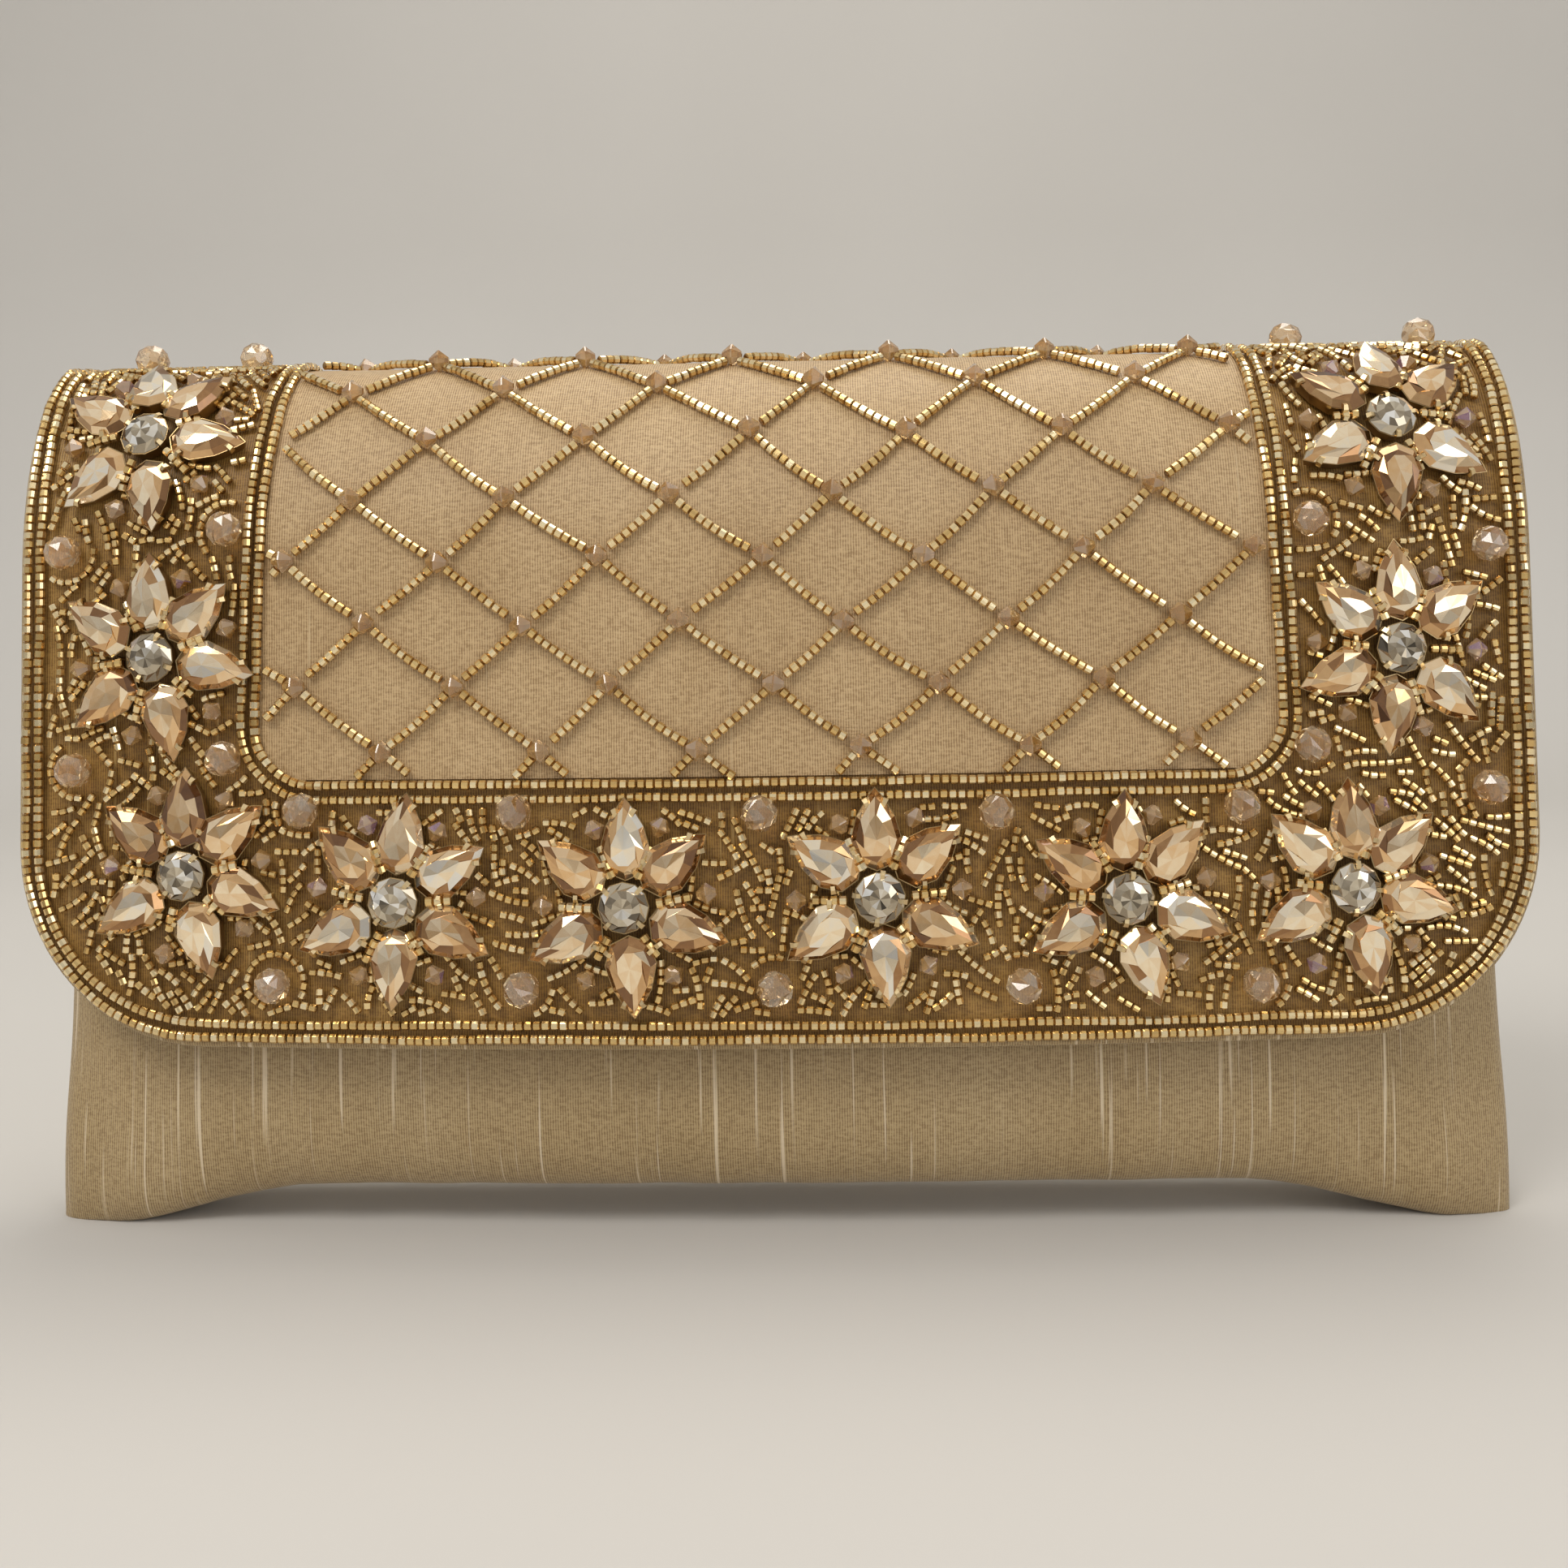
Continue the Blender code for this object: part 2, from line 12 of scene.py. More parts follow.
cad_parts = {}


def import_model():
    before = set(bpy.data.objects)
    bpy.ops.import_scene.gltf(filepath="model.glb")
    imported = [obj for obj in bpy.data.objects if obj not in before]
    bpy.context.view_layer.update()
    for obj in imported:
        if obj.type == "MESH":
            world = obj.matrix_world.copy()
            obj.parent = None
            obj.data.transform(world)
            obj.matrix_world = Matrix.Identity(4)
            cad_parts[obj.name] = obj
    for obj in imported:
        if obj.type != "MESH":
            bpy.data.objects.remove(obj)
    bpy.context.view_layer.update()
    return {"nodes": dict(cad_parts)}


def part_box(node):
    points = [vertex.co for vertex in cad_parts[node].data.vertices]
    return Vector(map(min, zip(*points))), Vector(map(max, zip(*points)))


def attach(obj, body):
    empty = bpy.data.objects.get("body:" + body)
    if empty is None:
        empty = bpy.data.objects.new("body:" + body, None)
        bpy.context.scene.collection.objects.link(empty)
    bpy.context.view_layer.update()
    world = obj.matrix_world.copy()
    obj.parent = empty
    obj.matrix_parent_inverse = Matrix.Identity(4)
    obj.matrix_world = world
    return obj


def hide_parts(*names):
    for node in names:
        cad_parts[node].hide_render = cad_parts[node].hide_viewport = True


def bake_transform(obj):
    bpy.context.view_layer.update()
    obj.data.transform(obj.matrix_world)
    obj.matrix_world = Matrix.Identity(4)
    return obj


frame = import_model()

MM = 0.001
SEED = 7

# the pouch and flap surfaces: the CAD's, with softer lower corners
LEAN = 0.05               # each point moves back by this share of its height
Y_SHIFT = 3.5
POUCH_HALF_W = 124.5
FRONT_DEPTH = 20.2
FRONT_BOW = 8.0
BACK_DEPTH = 15.5
BACK_BOW = 2.5
BOTTOM_RISE = 6.0
CORNER_DROP = 8.0
CORNER_SAG = (76.0, 124.0)   # the lower edge sags between these distances from the middle
BOTTOM_ROLL = 24.0
MOUTH_Z = 126.0
MOUTH_SIDE_DROP = 10.0
MOUTH_EASE = (84.0, 126.0, 0.25)   # between these heights the front draws in by this share
BACK_OPEN = (0.70, 0.97)  # the back's side seam opens between these shares of the way up
BACK_TOP_Z = 119.6
SEAM_FORWARD = 5.0
SEAM_STRAIGHT_Z = 45.0    # the side seam runs straight above this height
LOWER_REACH = 10.5
LINING_DEPTH = 6.2
POUCH_ROWS = 60
LOW_TAPER = 0.010         # the soft lower corners draw in by this share of the width
FLAP_HALF_W = 124.2
FLAP_CORNER_R = 31.0
FLAP_END_S = 124.4
DOME_TOP_Z = 146.0
FRONT_RISE = 35.0
FRONT_REACH = 27.0
FRONT_MEAN_REACH = 25.0
REAR_RISE = 26.0
FRONT_ARC = 47.5
REAR_ARC = 32.8
FLAP_THICK = 4.3
UNDERSIDE_INSET = 0.6     # the flap's lining stops this far inside its edge
FOLD_SIDE_INSET = 8.0     # the fold's lining stops this far inside the flap's sides
FOLD_STRIP_LAP = 12.0     # the fold's silk runs this far down past the flap's rear edge
SILK_TOP = 0.42           # upper and under faces of the plain silk, above the flap's ground
SILK_UNDER = 0.14
REAR_SPLIT_S = -16.0      # behind this line the flap bends with the fold
CLOTH_COLUMNS = 96
POCKET_HALF_W = 54.0
POCKET_INSIDE = 6.6       # depth of the pocket cloth inside the back panel's outer face
POCKET_BAG = 1.2          # how far the pocket's mouth stands open
POCKET_SLACK_Z = (48.0, 98.0)
POCKET_CLOTH = 0.5
POCKET_HEM = 0.35         # extra thickness of the turned edge above POCKET_HEM_Z
POCKET_HEM_Z = 93.0

RIB_SCALE = 748.0         # ribs 0.42 mm apart
CAMERA_SPOT = (0.0127, -0.2993, 0.106)
CAMERA_YAW = 1.9          # degrees
CAMERA_ROLL = -0.96
CAMERA_LENS = 40.06
CAMERA_SHIFT = -0.124

SKY_STOPS = ((0.0, (0.10, 0.09, 0.08)), (0.45, (0.22, 0.20, 0.18)), (0.62, (0.75, 0.74, 0.74)),
             (1.0, (1.0, 0.98, 0.95)))

# beading
SEED_R = 0.80
SEED_SIDES = 10
FILL_R = 0.68
SEED_PITCH = 1.43
ROW_START_S = -27.0
WINDOW_LEFT = -82.9
WINDOW_RIGHT = 82.3
WINDOW_SLANT = 2.5        # the window is this much narrower on each side at the apex
WINDOW_BOTTOM_S = 82.3
WINDOW_R = 9.0
NET_PITCH_S = 10.2
NET_FIRST_S = 6.1
NET_PITCH_X = 26.3
NET_FIRST_X = -68.6
NET_SPAN = (0.09, 0.91)   # part of the way between two crossings that carries seed beads
NET_SHORTEST = 0.08       # a shorter part is left out
NET_DRIFT = 1.1           # the crossings move this much to the right with each row
FILL_TRIES = 70000
FILL_ROOM = 1.34          # least distance between the middles of fill beads
FLOWERS = (               # x, s, and the directions of the pear stones in degrees
    (-103.8, 25.2, (152, 96, 46, -6, -78, -136)),
    (-100.7, 62.1, (148, 92, 45, -10, -76, -140)),
    (-95.3, 97.6, (139, 88, 42, -16, -72, -148)),
    (-59.9, 101.8, (137, 83, 30, -30, -90, -152)),
    (-22.7, 102.7, (142, 88, 42, -21, -84, -151)),
    (17.8, 101.6, (145, 92, 42, -27, -84, -149)),
    (57.0, 102.4, (147, 92, 45, -19, -76, -151)),
    (93.2, 101.6, (137, 90, 42, -12, -78, -155)),
    (102.9, 26.3, (150, 92, 38, -34, -90, -152)),
    (101.9, 63.6, (142, 91, 38, -42, -98, -159)),
)
TOP_CRYSTALS = ((-111.0, -1.0), (-92.0, -1.0), (92.0, -2.0), (115.0, -1.0))
CRYSTALS = (
    (-116.6, 44.6), (-88.6, 41.5), (-114.5, 80.4), (-88.6, 78.5), (-80.2, 115.0), (-75.5, 87.0),
    (-40.4, 87.3), (-39.3, 115.4), (-1.0, 88.0), (1.1, 115.6), (36.6, 88.2), (40.4, 115.6),
    (75.6, 88.0), (78.0, 116.2), (88.2, 42.8), (117.5, 47.0), (87.4, 78.6), (116.3, 86.1),
)
PEAR_LONG = 13.0
PEAR_WIDE = 8.2
PEAR_SIDES = 10
PEAR_TAPER = 0.95         # how much the outline narrows towards the point
PEAR_FULL = 1.28          # keeps the widest part at the full width
PEAR_MIDDLE = 10.9       # distance of a pear's middle from the flower's centre
CHATON_R = 4.0
CRYSTAL_R = 3.0
BICONE_R = 2.0


def smooth(low, high, value):
    t = min(max((value - low) / (high - low), 0.0), 1.0)
    return t * t * (3.0 - 2.0 * t)


def world(x, y, z):
    return Vector((x, y + Y_SHIFT + LEAN * z, z)) * MM


# ---------------------------------------------------------------- surfaces
def pouch_point(side, u, v, depth):
    half = POUCH_HALF_W - depth
    x = half * math.sin(0.5 * math.pi * u)
    pinch = math.sqrt(max(0.0, 1.0 - (abs(x) / half) ** 10))
    low = BOTTOM_RISE - CORNER_DROP * smooth(*CORNER_SAG, abs(x)) + depth
    roll = BOTTOM_ROLL - depth * 0.5
    if side < 0:
        top = MOUTH_Z - MOUTH_SIDE_DROP * (abs(x) / half) ** 4
    else:
        top = BACK_TOP_Z
    if v < 0.5:
        angle = math.pi * v
        z = low + roll * (1.0 - math.cos(angle) ** (2.0 / 3.0))
        out = math.sin(angle) ** (2.0 / 3.0)
    else:
        z = low + roll + (top - low - roll) * (v - 0.5) * 2.0
        out = 1.0
    z = max(z, depth)
    middle = -SEAM_FORWARD * (1.0 - smooth(0.0, SEAM_STRAIGHT_Z, z - depth))
    ratio = x / POUCH_HALF_W
    if side < 0:
        reach = max(FRONT_DEPTH - FRONT_BOW * ratio * ratio + middle, LOWER_REACH) - depth
        low_z, high_z, ease = MOUTH_EASE
        reach *= 1.0 - ease * smooth(low_z, high_z, z)
    else:
        reach = (BACK_DEPTH - BACK_BOW * ratio * ratio) - middle - depth
        pinch = pinch + (1.0 - pinch) * smooth(*BACK_OPEN, v)
    y = middle + side * (0.1 + (reach - 0.1) * pinch * out)
    return x, y, z


def arc_table(reach, rise, steps=60):
    """Angles from the apex for equal parts of a quarter ellipse's length."""
    lengths = [0.0]
    for k in range(steps):
        a0 = 0.5 * math.pi * k / steps
        a1 = 0.5 * math.pi * (k + 1) / steps
        lengths.append(lengths[-1] + math.hypot(reach * (math.sin(a1) - math.sin(a0)),
                                                rise * (math.cos(a1) - math.cos(a0))))
    return [length / lengths[-1] for length in lengths]


FRONT_TABLE = arc_table(FRONT_MEAN_REACH, FRONT_RISE)
REAR_TABLE = arc_table(BACK_DEPTH, REAR_RISE)


def arc_angle(part, table):
    steps = len(table) - 1
    for k in range(steps):
        if table[k + 1] >= part:
            return 0.5 * math.pi * (k + (part - table[k]) / (table[k + 1] - table[k])) / steps
    return 0.5 * math.pi


def flap_point(x, s, height):
    ratio = x / POUCH_HALF_W
    front = FRONT_REACH - FRONT_BOW * ratio * ratio + height
    rear = BACK_DEPTH - BACK_BOW * ratio * ratio + height
    if s >= FRONT_ARC:
        return x, -front, DOME_TOP_Z - FRONT_RISE - (s - FRONT_ARC)
    if s >= 0.0:
        angle = arc_angle(s / FRONT_ARC, FRONT_TABLE)
        return x, -front * math.sin(angle), DOME_TOP_Z - FRONT_RISE + (FRONT_RISE + height) * math.cos(angle)
    angle = arc_angle(min(1.0, -s / REAR_ARC), REAR_TABLE)
    z = DOME_TOP_Z - REAR_RISE + (REAR_RISE + height) * math.cos(angle)
    if s < -REAR_ARC:
        z = DOME_TOP_Z - REAR_RISE + (s + REAR_ARC)
    return x, rear * math.sin(angle), z


def flap_world(x, s, height):
    return world(*flap_point(x, s, height))


def flap_frame(x, s, height, heading=0.0):
    """Position and turn with local Z outwards and local Y along the heading, in degrees from +x."""
    here = flap_world(x, s, height)
    across = (flap_world(x + 0.5, s, height) - flap_world(x - 0.5, s, height)).normalized()
    down = flap_world(x, s + 0.5, height) - flap_world(x, s - 0.5, height)
    normal = across.cross(-down).normalized()
    up = normal.cross(across)
    a = math.radians(heading)
    forward = across * math.cos(a) + up * math.sin(a)
    right = forward.cross(normal)
    return here, Matrix((right, forward, normal)).transposed()


# ---------------------------------------------------------------- materials
def principled(name, **values):
    mat = bpy.data.materials.new(name)
    mat.use_nodes = True
    shader = mat.node_tree.nodes["Principled BSDF"]
    for key, value in values.items():
        shader.inputs[key.replace("_", " ")].default_value = value
    return mat, mat.node_tree, shader


def node(tree, kind, **values):
    made = tree.nodes.new(kind)
    for key, value in values.items():
        if key in made.inputs:
            made.inputs[key].default_value = value
        else:
            setattr(made, key, value)
    return made


def ramp(tree, source, stops):
    made = tree.nodes.new("ShaderNodeValToRGB")
    elements = made.color_ramp.elements
    while len(elements) < len(stops):
        elements.new(0.5)
    for element, (place, colour) in zip(elements, stops):
        element.position = place
        element.color = (*colour, 1.0)
    tree.links.new(source, made.inputs["Fac"])
    return made


def stretched_noise(tree, coord, scale, detail=1.0):
    """Noise drawn out along the cloth's length: the scale is given per axis, in features per metre."""
    mapping = node(tree, "ShaderNodeMapping")
    mapping.inputs["Scale"].default_value = scale
    tree.links.new(coord.outputs["Object"], mapping.inputs["Vector"])
    made = node(tree, "ShaderNodeTexNoise", Scale=1.0, Detail=detail, Roughness=0.6)
    tree.links.new(mapping.outputs["Vector"], made.inputs["Vector"])
    return made.outputs["Fac"]


def silk(name, dark, middle, light, slub, slub_start=0.62, rough=0.5, weave=0.75):
    """Slubbed silk: even upright ribs, a broken cross weave and long thick threads along Z."""
    mat, tree, shader = principled(name, Roughness=rough, Sheen_Weight=0.15, Sheen_Roughness=0.4)
    links = tree.links
    coord = node(tree, "ShaderNodeTexCoord")
    slubs = stretched_noise(tree, coord, (1000.0, 16.0, 16.0), 2.0)
    thick = ramp(tree, slubs, ((slub_start, (0, 0, 0)), (slub_start + 0.06, (0.8, 0.8, 0.8))))
    broad = stretched_noise(tree, coord, (45.0, 12.0, 12.0), 3.0)
    tone = ramp(tree, broad, ((0.3, dark), (0.5, middle), (0.7, light)))
    ribs = node(tree, "ShaderNodeTexWave", bands_direction="X", Scale=RIB_SCALE, Distortion=1.2,
                Detail=1.0)
    links.new(coord.outputs["Object"], ribs.inputs["Vector"])
    cross = stretched_noise(tree, coord, (900.0, 2600.0, 2600.0))
    weave_height = node(tree, "ShaderNodeMath", operation="MULTIPLY_ADD")
    weave_height.inputs[1].default_value = 0.5
    links.new(ribs.outputs["Fac"], weave_height.inputs[0])
    links.new(cross, weave_height.inputs[2])
    grain = ramp(tree, weave_height.outputs["Value"],
                 ((0.45, (0.36, 0.27, 0.16)), (0.92, (1.0, 1.0, 1.0))))
    shade = node(tree, "ShaderNodeMix", data_type="RGBA", blend_type="MULTIPLY")
    shade.inputs[0].default_value = weave
    links.new(tone.outputs["Color"], shade.inputs[6])
    links.new(grain.outputs["Color"], shade.inputs[7])
    final = node(tree, "ShaderNodeMix", data_type="RGBA")
    links.new(thick.outputs["Color"], final.inputs[0])
    links.new(shade.outputs[2], final.inputs[6])
    final.inputs[7].default_value = (*slub, 1.0)
    links.new(final.outputs[2], shader.inputs["Base Color"])
    height = node(tree, "ShaderNodeMath", operation="MULTIPLY_ADD")
    height.inputs[1].default_value = 1.2
    links.new(thick.outputs["Color"], height.inputs[0])
    links.new(weave_height.outputs["Value"], height.inputs[2])
    bump = node(tree, "ShaderNodeBump", Strength=0.5, Distance=0.00018)
    links.new(height.outputs["Value"], bump.inputs["Height"])
    links.new(bump.outputs["Normal"], shader.inputs["Normal"])
    return mat


def toned(name, stops, **values):
    """Material coloured by the 'tone' value stored on each face of the beadwork."""
    mat, tree, shader = principled(name, **values)
    tone = node(tree, "ShaderNodeAttribute", attribute_name="tone")
    coord = node(tree, "ShaderNodeTexCoord")
    speck = node(tree, "ShaderNodeTexNoise", Scale=900.0, Detail=2.0)
    tree.links.new(coord.outputs["Object"], speck.inputs["Vector"])
    mixed = node(tree, "ShaderNodeMath", operation="MULTIPLY_ADD")
    mixed.inputs[1].default_value = 0.12
    tree.links.new(speck.outputs["Fac"], mixed.inputs[0])
    tree.links.new(tone.outputs["Fac"], mixed.inputs[2])
    colour = ramp(tree, mixed.outputs["Value"], stops)
    tree.links.new(colour.outputs["Color"], shader.inputs["Base Color"])
    return mat


MATERIALS = {
    "silk": silk("champagne_silk_look", (0.46, 0.335, 0.165), (0.49, 0.36, 0.185), (0.52, 0.39, 0.21),
                 (0.80, 0.66, 0.46)),
    "window": silk("window_silk_look", (0.56, 0.39, 0.20), (0.60, 0.425, 0.225), (0.64, 0.46, 0.25),
                   (0.66, 0.49, 0.28), 0.72),
    # The flap's ground is the silk made darker and browner: partly painted shade and painted amber
    # reflection from the crowded beads, partly stained thread and glue.
    "ground": silk("flap_ground_shade_and_stain_look", (0.27, 0.145, 0.028), (0.36, 0.20, 0.045), (0.45, 0.27, 0.075),
                   (0.50, 0.32, 0.11), 0.66, 0.5, 0.8),
    "lining": silk("lining_look", (0.42, 0.30, 0.16), (0.45, 0.33, 0.18), (0.48, 0.36, 0.20),
                   (0.50, 0.38, 0.22), 0.80, 0.38, 0.12),
    # Seed beads: the darkest stops are painted shade at the bead ends and the palest a painted highlight,
    # with the gold of the glass between.
    "seed": toned("seed_bead_look", ((0.0, (0.12, 0.045, 0.004)), (0.45, (0.50, 0.27, 0.055)),
                                     (0.75, (0.83, 0.58, 0.22)), (1.0, (1.0, 0.86, 0.55))),
                  Metallic=0.85, Roughness=0.15, Coat_Weight=1.0, Coat_Roughness=0.05),
    # Pear stones: the near-white top stop and the darkest stops are painted highlights and reflections on
    # the facets, over the stone's amber.
    "stone": toned("pear_stone_look", ((0.0, (0.10, 0.035, 0.008)), (0.30, (0.36, 0.17, 0.05)),
                                       (0.55, (0.80, 0.50, 0.22)), (0.80, (0.99, 0.83, 0.58)),
                                       (1.0, (0.82, 0.82, 0.78))),
                   Metallic=0.8, Roughness=0.06, Coat_Weight=1.0, Coat_Roughness=0.02),
    # Centre stones: the dark and near-white stops give painted reflections on the facets.
    "smoke": toned("centre_stone_look", ((0.0, (0.05, 0.04, 0.025)), (0.4, (0.28, 0.22, 0.14)),
                                         (0.75, (0.60, 0.52, 0.38)), (1.0, (0.92, 0.90, 0.84))),
                   Metallic=0.7, Roughness=0.05, Coat_Weight=1.0, Coat_Roughness=0.02),
    # Round crystals: the spread from deep amber to pale gives painted reflections on the facets of one amber
    # glass.
    "glass": toned("round_crystal_look", ((0.0, (0.64, 0.31, 0.08)), (0.5, (0.94, 0.64, 0.32)),
                                          (1.0, (1.0, 0.90, 0.72))),
                   Roughness=0.03, Transmission_Weight=0.8, IOR=1.55, Coat_Weight=1.0,
                   Coat_Roughness=0.02),
    # Bicones: the amber stops give light and dark facets, painted reflections; the purple last stop is the
    # coating's own colour.
    "bicone": toned("bicone_look", ((0.0, (0.50, 0.24, 0.05)), (0.5, (0.78, 0.50, 0.20)),
                                    (0.9, (0.82, 0.64, 0.46)), (1.0, (0.55, 0.36, 0.52))),
                    Roughness=0.04, Transmission_Weight=0.65, IOR=1.55, Coat_Weight=1.0,
                    Coat_Roughness=0.02),
    "claw": toned("claw_metal_look", ((0.0, (0.28, 0.17, 0.06)), (1.0, (0.75, 0.58, 0.32))),
                  Metallic=1.0, Roughness=0.28),
}


# ---------------------------------------------------------------- templates: (verts, faces, tones)
def lofted(rings, top=None):
    """Stacked rings with equal counts, closed below; top is an optional closing point."""
    verts = [p for ring in rings for p in ring]
    count = len(rings[0])
    faces = []
    for r in range(len(rings) - 1):
        for k in range(count):
            nxt = (k + 1) % count
            faces.append((r * count + k, r * count + nxt, (r + 1) * count + nxt, (r + 1) * count + k))
    last = (len(rings) - 1) * count
    if top is None:
        faces.append(tuple(last + k for k in range(count)))
    else:
        verts.append(top)
        for k in range(count):
            faces.append((last + k, last + (k + 1) % count, len(verts) - 1))
    faces.append(tuple(reversed(range(count))))
    return verts, faces


def circle(count, radius, z, turn=0.0):
    return [(radius * math.cos(2 * math.pi * (k + turn) / count),
             radius * math.sin(2 * math.pi * (k + turn) / count), z) for k in range(count)]


def seed_template(radius=SEED_R):
    """Short cut glass tube along local Z, one pitch long."""
    half = 0.485 * SEED_PITCH
    levels = ((-half, 0.70), (-half * 0.72, 0.98), (half * 0.72, 0.98), (half, 0.70))
    verts, faces = lofted([circle(SEED_SIDES, radius * r, z) for z, r in levels])
    # The middle band gets a light tone and the tapered ends and caps dark ones: a painted highlight along
    # each bead's middle and painted shade at its ends, where neighbouring beads meet.
    tones = []
    for index in range(len(faces)):
        ring = index // SEED_SIDES
        tones.append(0.78 if ring == 1 else (0.42 if ring in (0, 2) else 0.18))
    return verts, faces, tones


def pear_outline(scale, z, turn=0.0):
    """Teardrop with its point at +Y, as long and wide as the stone times scale."""
    points = []
    for k in range(PEAR_SIDES):
        t = 2.0 * math.pi * (k + turn) / PEAR_SIDES
        wide = math.sin(t) * abs(math.sin(0.5 * t)) ** PEAR_TAPER * 0.5 * PEAR_WIDE * PEAR_FULL
        points.append((-wide * scale, 0.5 * PEAR_LONG * math.cos(t) * scale, z))
    return points


def pear_template():
    table = [(x, y - 0.9, z) for x, y, z in pear_outline(0.52, 4.0, 0.5)]
    return lofted([pear_outline(0.96, 2.2), pear_outline(1.0, 2.5), pear_outline(0.80, 3.45), table],
                  (0.0, -1.6, 4.12))


def pear_tones(faces, rng, light):
    """A painted highlight on the table over a few clear light and dark side facets, which are painted
    reflections.
    """
    tones = []
    for index in range(len(faces)):
        if index // PEAR_SIDES >= 3:
            tone = light + 0.16 + rng.uniform(-0.10, 0.10)
        else:
            tone = light + rng.uniform(-0.44, 0.28)
        tones.append(min(1.0, max(0.0, tone)))
    return tones


def cup_template(outline_low, outline_high):
    verts, faces = lofted([outline_low, outline_high])
    return verts, faces, [0.25] * len(faces)


def prong_template():
    verts, faces = lofted([
        [(-0.45, -0.25, 0.0), (0.45, -0.25, 0.0), (0.45, 0.35, 0.0), (-0.45, 0.35, 0.0)],
        [(-0.42, -0.25, 1.0), (0.42, -0.25, 1.0), (0.42, 0.3, 1.0), (-0.42, 0.3, 1.0)],
        [(-0.34, -1.0, 1.35), (0.34, -1.0, 1.35), (0.34, -0.35, 1.55), (-0.34, -0.35, 1.55)],
    ])
    return verts, faces, [0.95] * len(faces)


class Cluster:
    """Many small pieces gathered into one mesh, each placed by a position and a turn."""

    def __init__(self, name, material):
        self.name = name
        self.material = material
        self.verts = []
        self.faces = []
        self.tones = []

    def add(self, template, place, shift=0.0, scale=1.0, tones=None):
        verts, faces, own = template
        here, turn = place
        start = len(self.verts)
        for p in verts:
            self.verts.append(here + turn @ (Vector(p) * (MM * scale)))
        for face in faces:
            self.faces.append(tuple(start + k for k in face))
        for tone in (tones or own):
            self.tones.append(min(1.0, max(0.0, tone + shift)))

    def build(self):
        mesh = bpy.data.meshes.new(self.name)
        mesh.from_pydata([tuple(v) for v in self.verts], [], self.faces)
        layer = mesh.attributes.new("tone", "FLOAT", "FACE")
        layer.data.foreach_set("value", self.tones)
        mesh.materials.append(self.material)
        mesh.update()
        obj = bpy.data.objects.new(self.name, mesh)
        bpy.context.scene.collection.objects.link(obj)
        return obj


def along(a, b):
    """Turn whose local Z runs from a to b."""
    return (b - a).to_track_quat("Z", "Y").to_matrix()


def resample(points, pitch):
    """Positions a pitch apart along a line of points."""
    out = [points[0].copy()]
    need = pitch
    for a, b in zip(points, points[1:]):
        length = (b - a).length
        run = 0.0
        while length - run >= need:
            run += need
            out.append(a.lerp(b, run / length))
            need = pitch
        need -= length - run
    return out


def string_beads(cluster, template, points, rng, jitter=0.04):
    """Seed beads strung end to end along a line of points."""
    spots = resample(points, SEED_PITCH * MM)
    for a, b in zip(spots, spots[1:]):
        middle = (a + b) * 0.5
        middle += Vector([rng.uniform(-jitter, jitter) * MM for _ in range(3)])
        cluster.add(template, (middle, along(a, b)), rng.uniform(-0.22, 0.14), rng.uniform(0.94, 1.04))


# ---------------------------------------------------------------- cloth
def shell_mesh(name, outer, inner, materials, crown=0.0):
    """Closed padded sheet between two grids; the rim gets one more loop pushed out by crown."""
    rows = len(outer)
    columns = len(outer[0])
    verts = [p for line in outer for p in line] + [p for line in inner for p in line]
    under = rows * columns
    faces = []
    kinds = []
    for j in range(rows - 1):
        for i in range(columns - 1):
            a = j * columns + i
            faces.append((a, a + 1, a + columns + 1, a + columns))
            kinds.append(0)
            faces.append((under + a, under + a + columns, under + a + columns + 1, under + a + 1))
            kinds.append(1)
    rim = [i for i in range(columns)]
    rim += [j * columns + columns - 1 for j in range(1, rows)]
    rim += [(rows - 1) * columns + i for i in range(columns - 2, -1, -1)]
    rim += [j * columns for j in range(rows - 2, 0, -1)]
    centre = sum((verts[k] for k in rim), Vector()) / len(rim)
    first = len(verts)
    for k in rim:
        middle = (verts[k] + verts[under + k]) * 0.5
        away = middle - centre
        away -= away.project(verts[k] - verts[under + k])
        away.normalize()
        verts.append(middle + away * crown * MM)
    count = len(rim)
    for n in range(count):
        m = (n + 1) % count
        faces.append((rim[m], rim[n], first + n, first + m))
        kinds.append(2)
        faces.append((first + m, first + n, under + rim[n], under + rim[m]))
        kinds.append(2)
    mesh = bpy.data.meshes.new(name)
    mesh.from_pydata([tuple(v) for v in verts], [], faces)
    for mat in materials:
        mesh.materials.append(mat)
    last = len(materials) - 1
    for polygon, kind in zip(mesh.polygons, kinds):
        polygon.material_index = min(kind, last)
    mesh.shade_smooth()
    mesh.set_sharp_from_angle(angle=math.radians(50.0))
    mesh.update()
    obj = bpy.data.objects.new(name, mesh)
    bpy.context.scene.collection.objects.link(obj)
    return obj


def pouch_wrinkle(x, z, side):
    """Soft puckers near the seams and the corners, in millimetres."""
    edge = max(smooth(95.0, 123.0, abs(x)), 0.7 * (1.0 - smooth(4.0, 30.0, z)))
    wave = noise.noise(Vector((x * 0.09, z * 0.035, 3.0 * side)))
    fine = noise.noise(Vector((x * 0.25, z * 0.05, 9.0 + side)))
    return edge * (0.9 * wave + 0.35 * fine) + 0.25 * wave


